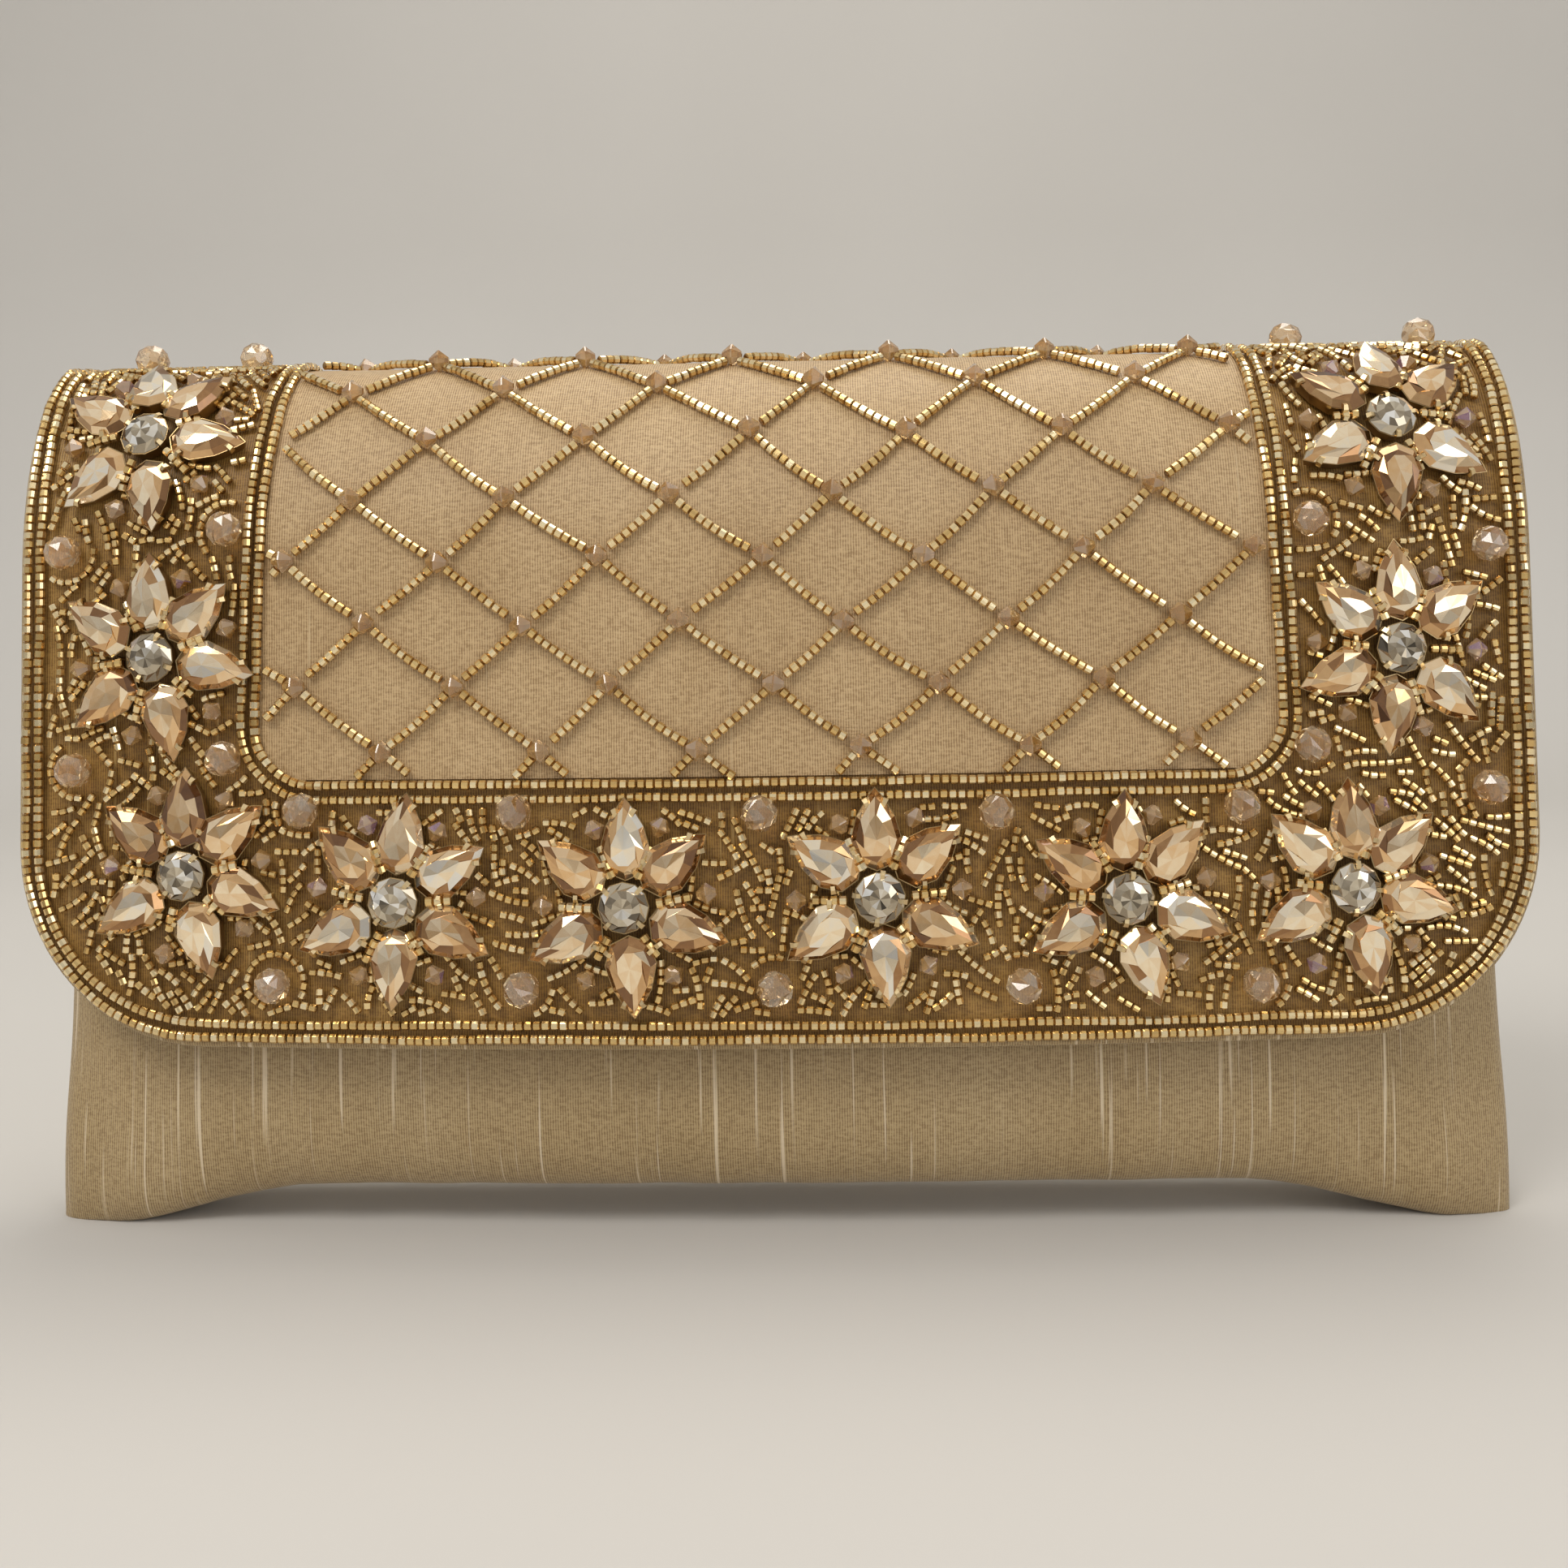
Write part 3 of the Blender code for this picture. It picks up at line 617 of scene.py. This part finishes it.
def pouch_surface(side, depth, wrinkled):
    grid = []
    for j in range(POUCH_ROWS + 1):
        v = j / POUCH_ROWS
        line = []
        for i in range(CLOTH_COLUMNS + 1):
            u = -1.0 + 2.0 * i / CLOTH_COLUMNS
            x, y, z = pouch_point(side, u, v, depth)
            x *= 1.0 - LOW_TAPER * (1.0 - smooth(0.0, 70.0, z))
            if wrinkled and 0.02 < v < 0.98:
                y += side * (pouch_wrinkle(x, z, side) - 0.35)
            line.append(world(x, y, z))
        grid.append(line)
    return grid


def make_pouch():
    for side, word in ((-1, "front"), (1, "back")):
        outer = pouch_surface(side, 0.0, True)
        inner = pouch_surface(side, LINING_DEPTH, False)
        obj = shell_mesh("pouch_%s_pad" % word, outer, inner,
                         [MATERIALS["silk"], MATERIALS["lining"], MATERIALS["silk"]], 1.0)
        names = [word + "_" + layer for layer in ("panel", "padding", "board", "lining")]
        if side < 0:
            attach(obj, "pouch")
            names.append("mouth_facing")
        else:
            fold(obj)
        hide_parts(*names)


def fold(obj):
    """Soft pieces at the rear fold: bakes their placement into the mesh."""
    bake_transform(obj)


def flap_half_width(s, inset):
    corner = FLAP_END_S - FLAP_CORNER_R
    if s <= corner:
        return FLAP_HALF_W - inset
    radius = FLAP_CORNER_R - inset
    down = min(s - corner, radius)
    return FLAP_HALF_W - FLAP_CORNER_R + math.sqrt(max(0.0, radius * radius - down * down))


def flap_levels():
    """Distances down the flap in front of the fold, closer together round the lower corners."""
    corner = FLAP_END_S - FLAP_CORNER_R
    levels = [REAR_SPLIT_S + (corner - REAR_SPLIT_S) * k / 70 for k in range(70)]
    return levels + [corner + FLAP_CORNER_R * math.sin(0.5 * math.pi * k / 24) for k in range(25)]


def flap_sheet(levels, inset, height):
    grid = []
    for s in levels:
        half = flap_half_width(s, inset)
        grid.append([flap_world(half * (-1.0 + 2.0 * i / CLOTH_COLUMNS), s, height)
                     for i in range(CLOTH_COLUMNS + 1)])
    return grid


def make_flap():
    levels = flap_levels()
    outer = flap_sheet(levels, 0.0, 0.0)
    inner = flap_sheet(levels, UNDERSIDE_INSET, -FLAP_THICK)
    pad = shell_mesh("flap_pad", outer, inner,
                     [MATERIALS["ground"], MATERIALS["lining"], MATERIALS["silk"]], 0.5)
    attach(pad, "flap")
    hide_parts("flap_ground", "flap_padding", "flap_board", "flap_lining")
    levels = [-REAR_ARC + 0.1 + (REAR_SPLIT_S + REAR_ARC - 0.1) * k / 24 for k in range(25)]
    outer = flap_sheet(levels, 0.0, 0.0)
    inner = flap_sheet(levels, UNDERSIDE_INSET, -FLAP_THICK)
    rear = shell_mesh("flap_rear_pad", outer, inner,
                      [MATERIALS["ground"], MATERIALS["lining"], MATERIALS["silk"]], 0.0)
    fold(rear)


def window_edge(s, offset):
    """Left and right x of the window frame at s, moved outwards by offset."""
    radius = WINDOW_R + offset
    straight = WINDOW_BOTTOM_S - WINDOW_R
    slant = WINDOW_SLANT * (1.0 - min(1.0, max(0.0, s / straight)))
    left = WINDOW_LEFT - offset + slant
    right = WINDOW_RIGHT + offset - slant
    if s > straight:
        cut = radius - math.sqrt(max(0.0, radius * radius - (s - straight) ** 2))
        left += cut
        right -= cut
    return left, right


def make_window():
    """Plain silk between the bead rows, and the silk strip across the whole rear fold."""
    start = -REAR_ARC - FOLD_STRIP_LAP
    end = WINDOW_BOTTOM_S
    front = [REAR_SPLIT_S + (end - REAR_SPLIT_S) * k / 90 for k in range(91)]
    front = [s for s in front if s < end - WINDOW_R] + [
        end - WINDOW_R + WINDOW_R * math.sin(0.5 * math.pi * k / 10) for k in range(11)]
    rear = [start + (REAR_SPLIT_S - start) * k / 30 for k in range(31)]
    for name, levels, whole in (("window_silk", front, False), ("fold_silk", rear, True)):
        outer = []
        inner = []
        for s in levels:
            left, right = window_edge(s, 0.4)
            if whole:
                left = -FLAP_HALF_W
                right = FLAP_HALF_W
            upper = []
            lower = []
            for i in range(CLOTH_COLUMNS + 1):
                x = left + (right - left) * i / CLOTH_COLUMNS
                soft = 0.12 * noise.noise(Vector((x * 0.05, s * 0.06, 4.0)))
                upper.append(flap_world(x, s, SILK_TOP + soft))
                lower.append(flap_world(x, s, SILK_UNDER + soft))
            outer.append(upper)
            inner.append(lower)
        obj = shell_mesh(name, outer, inner, [MATERIALS["silk" if whole else "window"]], 0.05)
        if whole:
            fold(obj)
        else:
            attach(obj, "flap")


def make_fold_lining():
    """Lining across the inside of the rear fold."""
    outer = []
    inner = []
    for k in range(17):
        t = k / 16.0
        upper = []
        lower = []
        for i in range(61):
            x = (FLAP_HALF_W - FOLD_SIDE_INSET) * (-1.0 + 2.0 * i / 60)
            low = Vector(pouch_point(1, math.asin(x / (POUCH_HALF_W - LINING_DEPTH)) / (0.5 * math.pi), 0.94,
                                     LINING_DEPTH + 0.2))
            high = Vector(flap_point(x, -24.0, -FLAP_THICK - 0.2))
            p = low.lerp(high, t)
            p.y -= 0.8 * math.sin(math.pi * t)
            upper.append(world(p.x, p.y, p.z))
            lower.append(world(p.x, p.y + 0.3, p.z))
        outer.append(upper)
        inner.append(lower)
    obj = shell_mesh("fold_lining", outer, inner, [MATERIALS["lining"]], 0.05)
    fold(obj)


# ---------------------------------------------------------------- beadwork
def border_path(inset, height):
    corner = FLAP_END_S - FLAP_CORNER_R
    radius = FLAP_CORNER_R - inset
    middle = FLAP_HALF_W - FLAP_CORNER_R
    left = [(-(middle + radius), ROW_START_S + (corner - ROW_START_S) * k / 80) for k in range(80)]
    left += [(-(middle + radius * math.cos(0.5 * math.pi * k / 20)),
              corner + radius * math.sin(0.5 * math.pi * k / 20)) for k in range(21)]
    bottom = [(-middle + 2.0 * middle * k / 60, corner + radius) for k in range(1, 60)]
    right = [(-x, s) for x, s in reversed(left)]
    return [flap_world(x, s, height) for x, s in left + bottom + right]


def window_path(offset, height):
    low = WINDOW_BOTTOM_S + offset
    radius = WINDOW_R + offset
    levels = [ROW_START_S + (low - radius - ROW_START_S) * k / 70 for k in range(70)]
    levels += [low - radius + radius * math.sin(0.5 * math.pi * k / 14) for k in range(15)]
    left = [(window_edge(s, offset)[0], s) for s in levels]
    right = [(window_edge(s, offset)[1], s) for s in reversed(levels)]
    a = left[-1][0]
    b = right[0][0]
    bottom = [(a + (b - a) * k / 50, low) for k in range(1, 50)]
    return [flap_world(x, s, height) for x, s in left + bottom + right]


def wander(points, rng, amount):
    """The small unevenness of a hand-sewn row."""
    offset = rng.uniform(0.0, 50.0)
    out = []
    for k, p in enumerate(points):
        shift = Vector((noise.noise(Vector((k * 0.21, offset, 0.0))), 0.0,
                        noise.noise(Vector((k * 0.21, offset, 7.0)))))
        out.append(p + shift * amount * MM)
    return out


def make_rows(rng):
    template = seed_template()
    for name, path, nodes in (
            ("edge_beads_outer", border_path(0.6, 1.15), ("edge_bead_row_outer",)),
            ("edge_beads_inner", border_path(2.8, 1.15), ("edge_bead_row_inner",)),
            ("window_beads_inner", window_path(0.9, 1.25), ("window_bead_row_inner",)),
            ("window_beads_outer", window_path(3.2, 1.15), ("window_bead_row_outer",))):
        cluster = Cluster(name, MATERIALS["seed"])
        string_beads(cluster, template, wander(path, rng, 0.28), rng)
        obj = cluster.build()
        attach(obj, "flap")
        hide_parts(*nodes)


def bicone_template():
    levels = ((-1.75, 0.32), (-0.12, 1.0), (0.12, 1.0), (1.75, 0.32))
    verts, faces = lofted([circle(8, BICONE_R * r, z) for z, r in levels])
    return verts, faces, None


def net_nodes(rng):
    """Crossing points of the net by (row, column), with the small slips of handwork."""
    points = {}
    for row in range(-3, 9):
        shift = 0.0 if row % 2 else 0.5 * NET_PITCH_X
        for column in range(-2, 8):
            x = NET_FIRST_X + shift + NET_PITCH_X * column + rng.uniform(-0.9, 0.9)
            x += NET_DRIFT * (row - 2)
            s = NET_FIRST_S + NET_PITCH_S * row + rng.uniform(-0.5, 0.5)
            points[(row, column)] = (x, s)
    return points


def clip_to_window(a, b):
    """Part of a net segment inside the window frame, as start and end fractions."""
    inside = []
    for k in range(41):
        t = k / 40.0
        x = a[0] + (b[0] - a[0]) * t
        s = a[1] + (b[1] - a[1]) * t
        if REAR_SPLIT_S < s < WINDOW_BOTTOM_S - 0.4:
            left, right = window_edge(s, -0.4)
            if left < x < right:
                inside.append(t)
    return (min(inside), max(inside)) if inside else None


def make_net(rng):
    seed = seed_template()
    bicone = bicone_template()
    beads = Cluster("net_beads", MATERIALS["seed"])
    crystals = Cluster("net_bicones", MATERIALS["bicone"])
    points = net_nodes(rng)
    for (row, column), a in sorted(points.items()):
        shift = 0 if row % 2 else 1
        for step in (shift - 1, shift):
            b = points.get((row + 1, column + step))
            if b is None:
                continue
            span = clip_to_window(a, b)
            if span is None:
                continue
            t0 = max(span[0], NET_SPAN[0])
            t1 = min(span[1], NET_SPAN[1])
            if t1 - t0 < NET_SHORTEST:
                continue
            line = []
            sag = rng.uniform(0.2, 0.9)
            for k in range(9):
                t = t0 + (t1 - t0) * k / 8.0
                x = a[0] + (b[0] - a[0]) * t
                s = a[1] + (b[1] - a[1]) * t + sag * math.sin(math.pi * t)
                line.append(flap_world(x, s, 1.35))
            string_beads(beads, seed, line, rng)
        left, right = window_edge(a[1], -2.2)
        if left < a[0] < right and REAR_SPLIT_S < a[1] < WINDOW_BOTTOM_S - 2.5:
            place = flap_frame(a[0], a[1], 2.1, rng.uniform(-12.0, 12.0))
            turn = place[1] @ Matrix.Rotation(math.radians(90.0), 3, "X")
            count = len(bicone[1])
            # Light and dark facets: painted reflections.
            tones = [rng.uniform(0.05, 0.8) for _ in range(count)]
            crystals.add(bicone, (place[0], turn), 0.0, 0.98, tones)
    net = beads.build()
    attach(net, "flap")
    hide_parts(*["net_strand_%d" % k for k in range(1, 9)])
    crosses = crystals.build()
    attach(crosses, "flap")


def chaton_template():
    return lofted([circle(12, CHATON_R * 0.95, 2.6), circle(12, CHATON_R, 3.1),
                   circle(12, CHATON_R * 0.72, 4.1, 0.5), circle(12, CHATON_R * 0.42, 4.55)],
                  (0.0, 0.0, 4.5))


def gaps_between(angles):
    """Middle and width, in degrees, of each gap between neighbouring pears."""
    order = sorted(angle % 360 for angle in angles)
    following = order[1:] + [order[0] + 360]
    return [(0.5 * (a + b), b - a) for a, b in zip(order, following)]


def make_flower(number, x, s, angles, rng, seed, prong):
    stones = Cluster("flower_%02d_stones" % number, MATERIALS["stone"])
    claws = Cluster("flower_%02d_claws" % number, MATERIALS["claw"])
    centre = Cluster("flower_%02d_chaton" % number, MATERIALS["smoke"])
    rays = Cluster("flower_%02d_rays" % number, MATERIALS["seed"])
    tips = Cluster("flower_%02d_bicones" % number, MATERIALS["bicone"])
    pear = pear_template()
    cup = cup_template(pear_outline(0.88, 0.3), pear_outline(1.03, 2.45))
    for angle in angles:
        a = math.radians(angle)
        px = x + PEAR_MIDDLE * math.cos(a)
        ps = s - PEAR_MIDDLE * math.sin(a)
        here, turn = flap_frame(px, ps, 0.25, angle + rng.uniform(-4.0, 4.0))
        lean = Matrix.Rotation(math.radians(rng.uniform(-5.0, 5.0)), 3, "X")
        roll = Matrix.Rotation(math.radians(rng.uniform(-6.0, 6.0)), 3, "Y")
        turn = turn @ lean @ roll
        stones.add((*pear, None), (here, turn), 0.0, 1.0, pear_tones(pear[1], rng, rng.uniform(0.36, 0.64)))
        claws.add(cup, (here, turn), rng.uniform(-0.05, 0.1))
        for spot in (1.3, 3.6, 6.4, 8.7):
            edge = pear_outline(1.02, 1.9, spot)[0]
            face = math.atan2(edge[1] * 0.7, edge[0])
            spin = Matrix.Rotation(face - math.pi / 2.0, 3, "Z")
            claws.add(prong, (here + turn @ (Vector(edge) * MM), turn @ spin))
    verts, faces = chaton_template()
    place = flap_frame(x, s, 0.3, rng.uniform(0.0, 60.0))
    # Random light and dark facets: painted reflections of the stone's pavilion.
    tones = [min(1.0, max(0.0, rng.gauss(0.55, 0.25))) for _ in faces]
    centre.add((verts, faces, tones), place)
    claws.add(cup_template(circle(12, 3.4, 0.3), circle(12, 4.15, 3.0)), place)
    for k in range(4):
        a = math.radians(45.0 + 90.0 * k)
        edge = Vector((4.1 * math.cos(a), 4.1 * math.sin(a), 2.4))
        spin = Matrix.Rotation(a - math.pi / 2.0, 3, "Z")
        claws.add(prong, (place[0] + place[1] @ (edge * MM), place[1] @ spin))
    bicone = bicone_template()
    for middle, gap in gaps_between(angles):
        a = math.radians(middle + rng.uniform(-4.0, 4.0))
        reach = 11.2 if gap < 52 else 10.6
        line = []
        for j in range(7):
            r = 5.0 + (reach - 5.0) * j / 6.0
            lift = 3.0 - 1.1 * (j / 6.0) ** 2
            line.append(flap_world(x + r * math.cos(a), s - r * math.sin(a), lift))
        string_beads(rays, seed, line, rng)
        far = (x + (reach + 2.6) * math.cos(a), s - (reach + 2.6) * math.sin(a))
        if abs(far[0]) < FLAP_HALF_W - 5.5 and far[1] < FLAP_END_S - 6.5:
            place = flap_frame(far[0], far[1], 1.7, math.degrees(a))
            turn = place[1] @ Matrix.Rotation(math.radians(-90.0), 3, "X")
            # A few bicones lean to the purple coating, the coating's own colour; the light and dark facets
            # round each tone are painted reflections.
            high = 0.85 if rng.random() < 0.15 else 0.5
            tones = [min(1.0, max(0.0, rng.gauss(high, 0.2))) for _ in bicone[1]]
            tips.add(bicone, (place[0], turn), 0.0, 0.9, tones)
    for cluster, slot_name, nodes in (
            (stones, "champagne_crystal", ("flower_%02d_petals" % number,)),
            (claws, "plated_steel", ()), (centre, "clear_crystal", ("flower_%02d_centre" % number,)),
            (rays, "gold_bead_glass", ()), (tips, "clear_crystal", ())):
        obj = cluster.build()
        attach(obj, "flap")
        if nodes:
            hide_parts(*nodes)


def crystal_template():
    levels = [(-0.92, 0.34), (-0.55, 0.82), (0.0, 1.0), (0.55, 0.82), (0.92, 0.34)]
    rings = [circle(10, CRYSTAL_R * r, CRYSTAL_R * z, 0.5 * (k % 2)) for k, (z, r) in enumerate(levels)]
    return lofted(rings)


def make_crystals(rng):
    verts, faces = crystal_template()
    for name, spots, lift in (("top_crystals", TOP_CRYSTALS, 3.2), ("round_crystals", CRYSTALS, 2.9)):
        cluster = Cluster(name, MATERIALS["glass"])
        for x, s in spots:
            here, turn = flap_frame(x, s, lift, rng.uniform(0.0, 360.0))
            tilt = Matrix.Rotation(math.radians(90.0 + rng.uniform(-20.0, 20.0)), 3, "X")
            # Light and dark facets: painted reflections over the amber glass.
            tones = [min(1.0, max(0.0, rng.gauss(0.55, 0.22))) for _ in faces]
            cluster.add((verts, faces, tones), (here, turn @ tilt))
        obj = cluster.build()
        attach(obj, "flap")
        if name == "top_crystals":
            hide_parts(*["top_crystal_%d" % k for k in range(1, 5)])


class Filler:
    """Keeps count of the space taken on the flap, so that strands lie beside each other."""

    def __init__(self, rng):
        self.rng = rng
        self.cells = {}
        self.cluster = Cluster("filler_beads", MATERIALS["seed"])
        self.template = seed_template(FILL_R)
        self.keep_out = [(x, s, CRYSTAL_R + 1.0) for x, s in CRYSTALS + TOP_CRYSTALS]
        for x, s, angles in FLOWERS:
            self.keep_out.append((x, s, 6.0))
            for angle in angles:
                a = math.radians(angle)
                for r, size in ((8.4, 3.4), (11.0, 3.5), (13.8, 2.4), (16.6, 1.4)):
                    self.keep_out.append((x + r * math.cos(a), s - r * math.sin(a), size))
            for middle, _ in gaps_between(angles):
                a = math.radians(middle)
                for r, size in ((8.5, 1.7), (13.4, 2.4)):
                    self.keep_out.append((x + r * math.cos(a), s - r * math.sin(a), size))

    def free(self, x, s):
        """Whether a bead at x, s is clear of edges, stones and other strands."""
        if s < ROW_START_S + 1.0 or s > FLAP_END_S - 4.6:
            return False
        if abs(x) > flap_half_width(s, 4.6):
            return False
        left, right = window_edge(s, 5.0)
        if left < x < right and s < WINDOW_BOTTOM_S + 5.0:
            return False
        for kx, ks, size in self.keep_out:
            if (x - kx) ** 2 + (s - ks) ** 2 < size * size:
                return False
        cx = int(x // 2)
        cs = int(s // 2)
        for i in (-1, 0, 1):
            for j in (-1, 0, 1):
                for ox, os in self.cells.get((cx + i, cs + j), ()):
                    if (x - ox) ** 2 + (s - os) ** 2 < FILL_ROOM * FILL_ROOM:
                        return False
        return True

    def strand(self, x, s, heading, turn, count, least=3):
        """Lays up to count beads from x, s, if at least the least number lie clear."""
        laid = []
        for _ in range(count):
            if not self.free(x, s):
                break
            laid.append((x, s, heading))
            x += SEED_PITCH * math.cos(heading)
            s += SEED_PITCH * math.sin(heading)
            heading += turn
        if len(laid) < least:
            return
        for x, s, heading in laid:
            self.cells.setdefault((int(x // 2), int(s // 2)), []).append((x, s))
            a = flap_world(x - 0.5 * math.cos(heading), s - 0.5 * math.sin(heading), 1.1)
            b = flap_world(x + 0.5 * math.cos(heading), s + 0.5 * math.sin(heading), 1.1)
            self.cluster.add(self.template, ((a + b) * 0.5, along(a, b)), self.rng.uniform(-0.25, 0.12),
                             self.rng.uniform(0.92, 1.0))

    def fill(self):
        for x, s in CRYSTALS:
            start = self.rng.uniform(0.0, 6.28)
            radius = CRYSTAL_R + 1.75
            self.strand(x + radius * math.cos(start), s + radius * math.sin(start), start + 1.73, 0.30,
                        self.rng.randint(9, 14))
        for attempt in range(FILL_TRIES):
            x = self.rng.uniform(-FLAP_HALF_W, FLAP_HALF_W)
            s = self.rng.uniform(ROW_START_S, FLAP_END_S)
            flow = 3.0 * noise.noise(Vector((x * 0.07, s * 0.07, 2.0)))
            heading = flow + self.rng.choice((0.0, 1.57, 0.8)) + self.rng.uniform(-0.3, 0.3)
            self.strand(x, s, heading, self.rng.uniform(-0.16, 0.16), self.rng.randint(3, 6),
                        3 if attempt < FILL_TRIES // 2 else 2)
        obj = self.cluster.build()
        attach(obj, "flap")


def make_piping():
    points = border_path(-0.75, -1.2)
    curve = bpy.data.curves.new("flap_piping", "CURVE")
    curve.dimensions = "3D"
    curve.bevel_depth = 0.75 * MM
    curve.bevel_resolution = 3
    curve.use_fill_caps = True
    spline = curve.splines.new("POLY")
    spline.points.add(len(points) - 1)
    for target, p in zip(spline.points, points):
        target.co = (*p, 1.0)
    curve.materials.append(MATERIALS["silk"])
    obj = bpy.data.objects.new("flap_piping", curve)
    bpy.context.scene.collection.objects.link(obj)
    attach(obj, "flap")
    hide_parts("edge_piping")


def finish_cad_nodes():
    """Brushed metal for the CAD pieces that stay in view, the two snap halves."""
    metal, tree, shader = principled("snap_look", Metallic=1.0, Roughness=0.25)
    coord = node(tree, "ShaderNodeTexCoord")
    brushed = node(tree, "ShaderNodeTexNoise", Scale=700.0, Detail=3.0)
    tree.links.new(coord.outputs["Object"], brushed.inputs["Vector"])
    colour = ramp(tree, brushed.outputs["Fac"], ((0.3, (0.62, 0.52, 0.34)), (0.7, (0.80, 0.70, 0.50))))
    tree.links.new(colour.outputs["Color"], shader.inputs["Base Color"])
    for name in ("snap_magnet", "snap_plate"):
        mesh = frame["nodes"][name].data
        mesh.materials.clear()
        mesh.materials.append(metal)


def make_pocket():
    """Slip pocket on the back lining, with a turned upper edge."""
    low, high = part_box("slip_pocket")
    outer = []
    inner = []
    for j in range(25):
        z = low[2] / MM + (high[2] - low[2]) / MM * j / 24.0
        upper = []
        lower = []
        for i in range(41):
            x = POCKET_HALF_W * (-1.0 + 2.0 * i / 40)
            slack = 1.0 - (x / POCKET_HALF_W) ** 2
            bag = POCKET_BAG * slack * smooth(*POCKET_SLACK_Z, z)
            ratio = x / POUCH_HALF_W
            y = BACK_DEPTH - BACK_BOW * ratio * ratio - POCKET_INSIDE - bag
            hem = POCKET_HEM if z > POCKET_HEM_Z else 0.0
            upper.append(world(x, y, z))
            lower.append(world(x, y - POCKET_CLOTH - hem, z))
        outer.append(upper)
        inner.append(lower)
    obj = shell_mesh("pocket_cloth", outer, inner, [MATERIALS["lining"]], 0.1)
    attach(obj, "pouch")
    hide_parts("slip_pocket")


# ---------------------------------------------------------------- stage
def make_stage():
    mesh = bpy.data.meshes.new("studio_floor")
    reach = 1.6
    back = 0.9
    bend = 0.35
    rows = [(-reach * 1.6, 0.0), (back - bend, 0.0)]
    rows += [(back - bend + bend * math.sin(a * math.pi / 24), bend * (1.0 - math.cos(a * math.pi / 24)))
             for a in range(1, 13)]
    rows += [(back, 2.2)]
    verts = []
    for y, z in rows:
        verts += [(-reach * 1.6, y, z), (reach * 1.6, y, z)]
    faces = [(2 * k, 2 * k + 1, 2 * k + 3, 2 * k + 2) for k in range(len(rows) - 1)]
    mesh.from_pydata(verts, [], faces)
    mesh.shade_smooth()
    mat, tree, shader = principled("floor_look", Roughness=0.85)
    coord = node(tree, "ShaderNodeTexCoord")
    soft = node(tree, "ShaderNodeTexNoise", Scale=3.0, Detail=2.0)
    tree.links.new(coord.outputs["Object"], soft.inputs["Vector"])
    colour = ramp(tree, soft.outputs["Fac"], ((0.2, (0.58, 0.56, 0.525)), (0.8, (0.63, 0.61, 0.575))))
    tree.links.new(colour.outputs["Color"], shader.inputs["Base Color"])
    mesh.materials.append(mat)
    floor = bpy.data.objects.new("studio_floor", mesh)
    bpy.context.scene.collection.objects.link(floor)
    sky = bpy.data.worlds.new("studio")
    sky.use_nodes = True
    tree = sky.node_tree
    coord = node(tree, "ShaderNodeTexCoord")
    split = node(tree, "ShaderNodeSeparateXYZ")
    tree.links.new(coord.outputs["Generated"], split.inputs["Vector"])
    raised = node(tree, "ShaderNodeMath", operation="MULTIPLY_ADD")
    raised.inputs[1].default_value = 0.5
    raised.inputs[2].default_value = 0.5
    tree.links.new(split.outputs["Z"], raised.inputs[0])
    colour = ramp(tree, raised.outputs["Value"], SKY_STOPS)
    tree.links.new(colour.outputs["Color"], tree.nodes["Background"].inputs["Color"])
    tree.nodes["Background"].inputs["Strength"].default_value = 0.66
    bpy.context.scene.world = sky
    bpy.context.scene.view_settings.view_transform = "Standard"
    for name, spot, size, power, colour in (
            ("key", (-0.45, -0.75, 1.05), 0.5, 6.6, (1.0, 0.97, 0.93)),
            ("fill", (0.9, -0.9, 0.5), 0.6, 2.2, (0.97, 0.98, 1.0)),
            ("top", (0.1, 0.25, 1.1), 0.6, 4.4, (1.0, 0.95, 0.87))):
        lamp = bpy.data.lights.new(name, "AREA")
        lamp.size = size
        lamp.energy = power
        lamp.color = colour
        obj = bpy.data.objects.new(name, lamp)
        obj.location = spot
        aim = Vector((0.0, 0.0, 0.08)) - Vector(spot)
        obj.rotation_euler = aim.to_track_quat("-Z", "Y").to_euler()
        bpy.context.scene.collection.objects.link(obj)


def make_camera():
    camera = bpy.data.cameras.new("camera")
    camera.sensor_width = 36.0
    camera.lens = CAMERA_LENS
    camera.clip_start = 0.01
    camera.shift_y = CAMERA_SHIFT
    obj = bpy.data.objects.new("camera", camera)
    obj.location = CAMERA_SPOT
    turn = Matrix.Rotation(math.radians(CAMERA_YAW), 3, "Z") @ Matrix.Rotation(math.radians(90.0), 3, "X")
    obj.rotation_euler = (turn @ Matrix.Rotation(math.radians(CAMERA_ROLL), 3, "Z")).to_euler()
    bpy.context.scene.collection.objects.link(obj)
    bpy.context.scene.camera = obj


def main():
    rng = random.Random(SEED)
    make_pouch()
    make_flap()
    make_window()
    make_fold_lining()
    make_pocket()
    make_piping()
    make_rows(rng)
    make_net(rng)
    seed = seed_template()
    prong = prong_template()
    for number, (x, s, angles) in enumerate(FLOWERS, 1):
        make_flower(number, x, s, angles, rng, seed, prong)
    make_crystals(rng)
    Filler(rng).fill()
    finish_cad_nodes()
    make_stage()
    make_camera()


main()
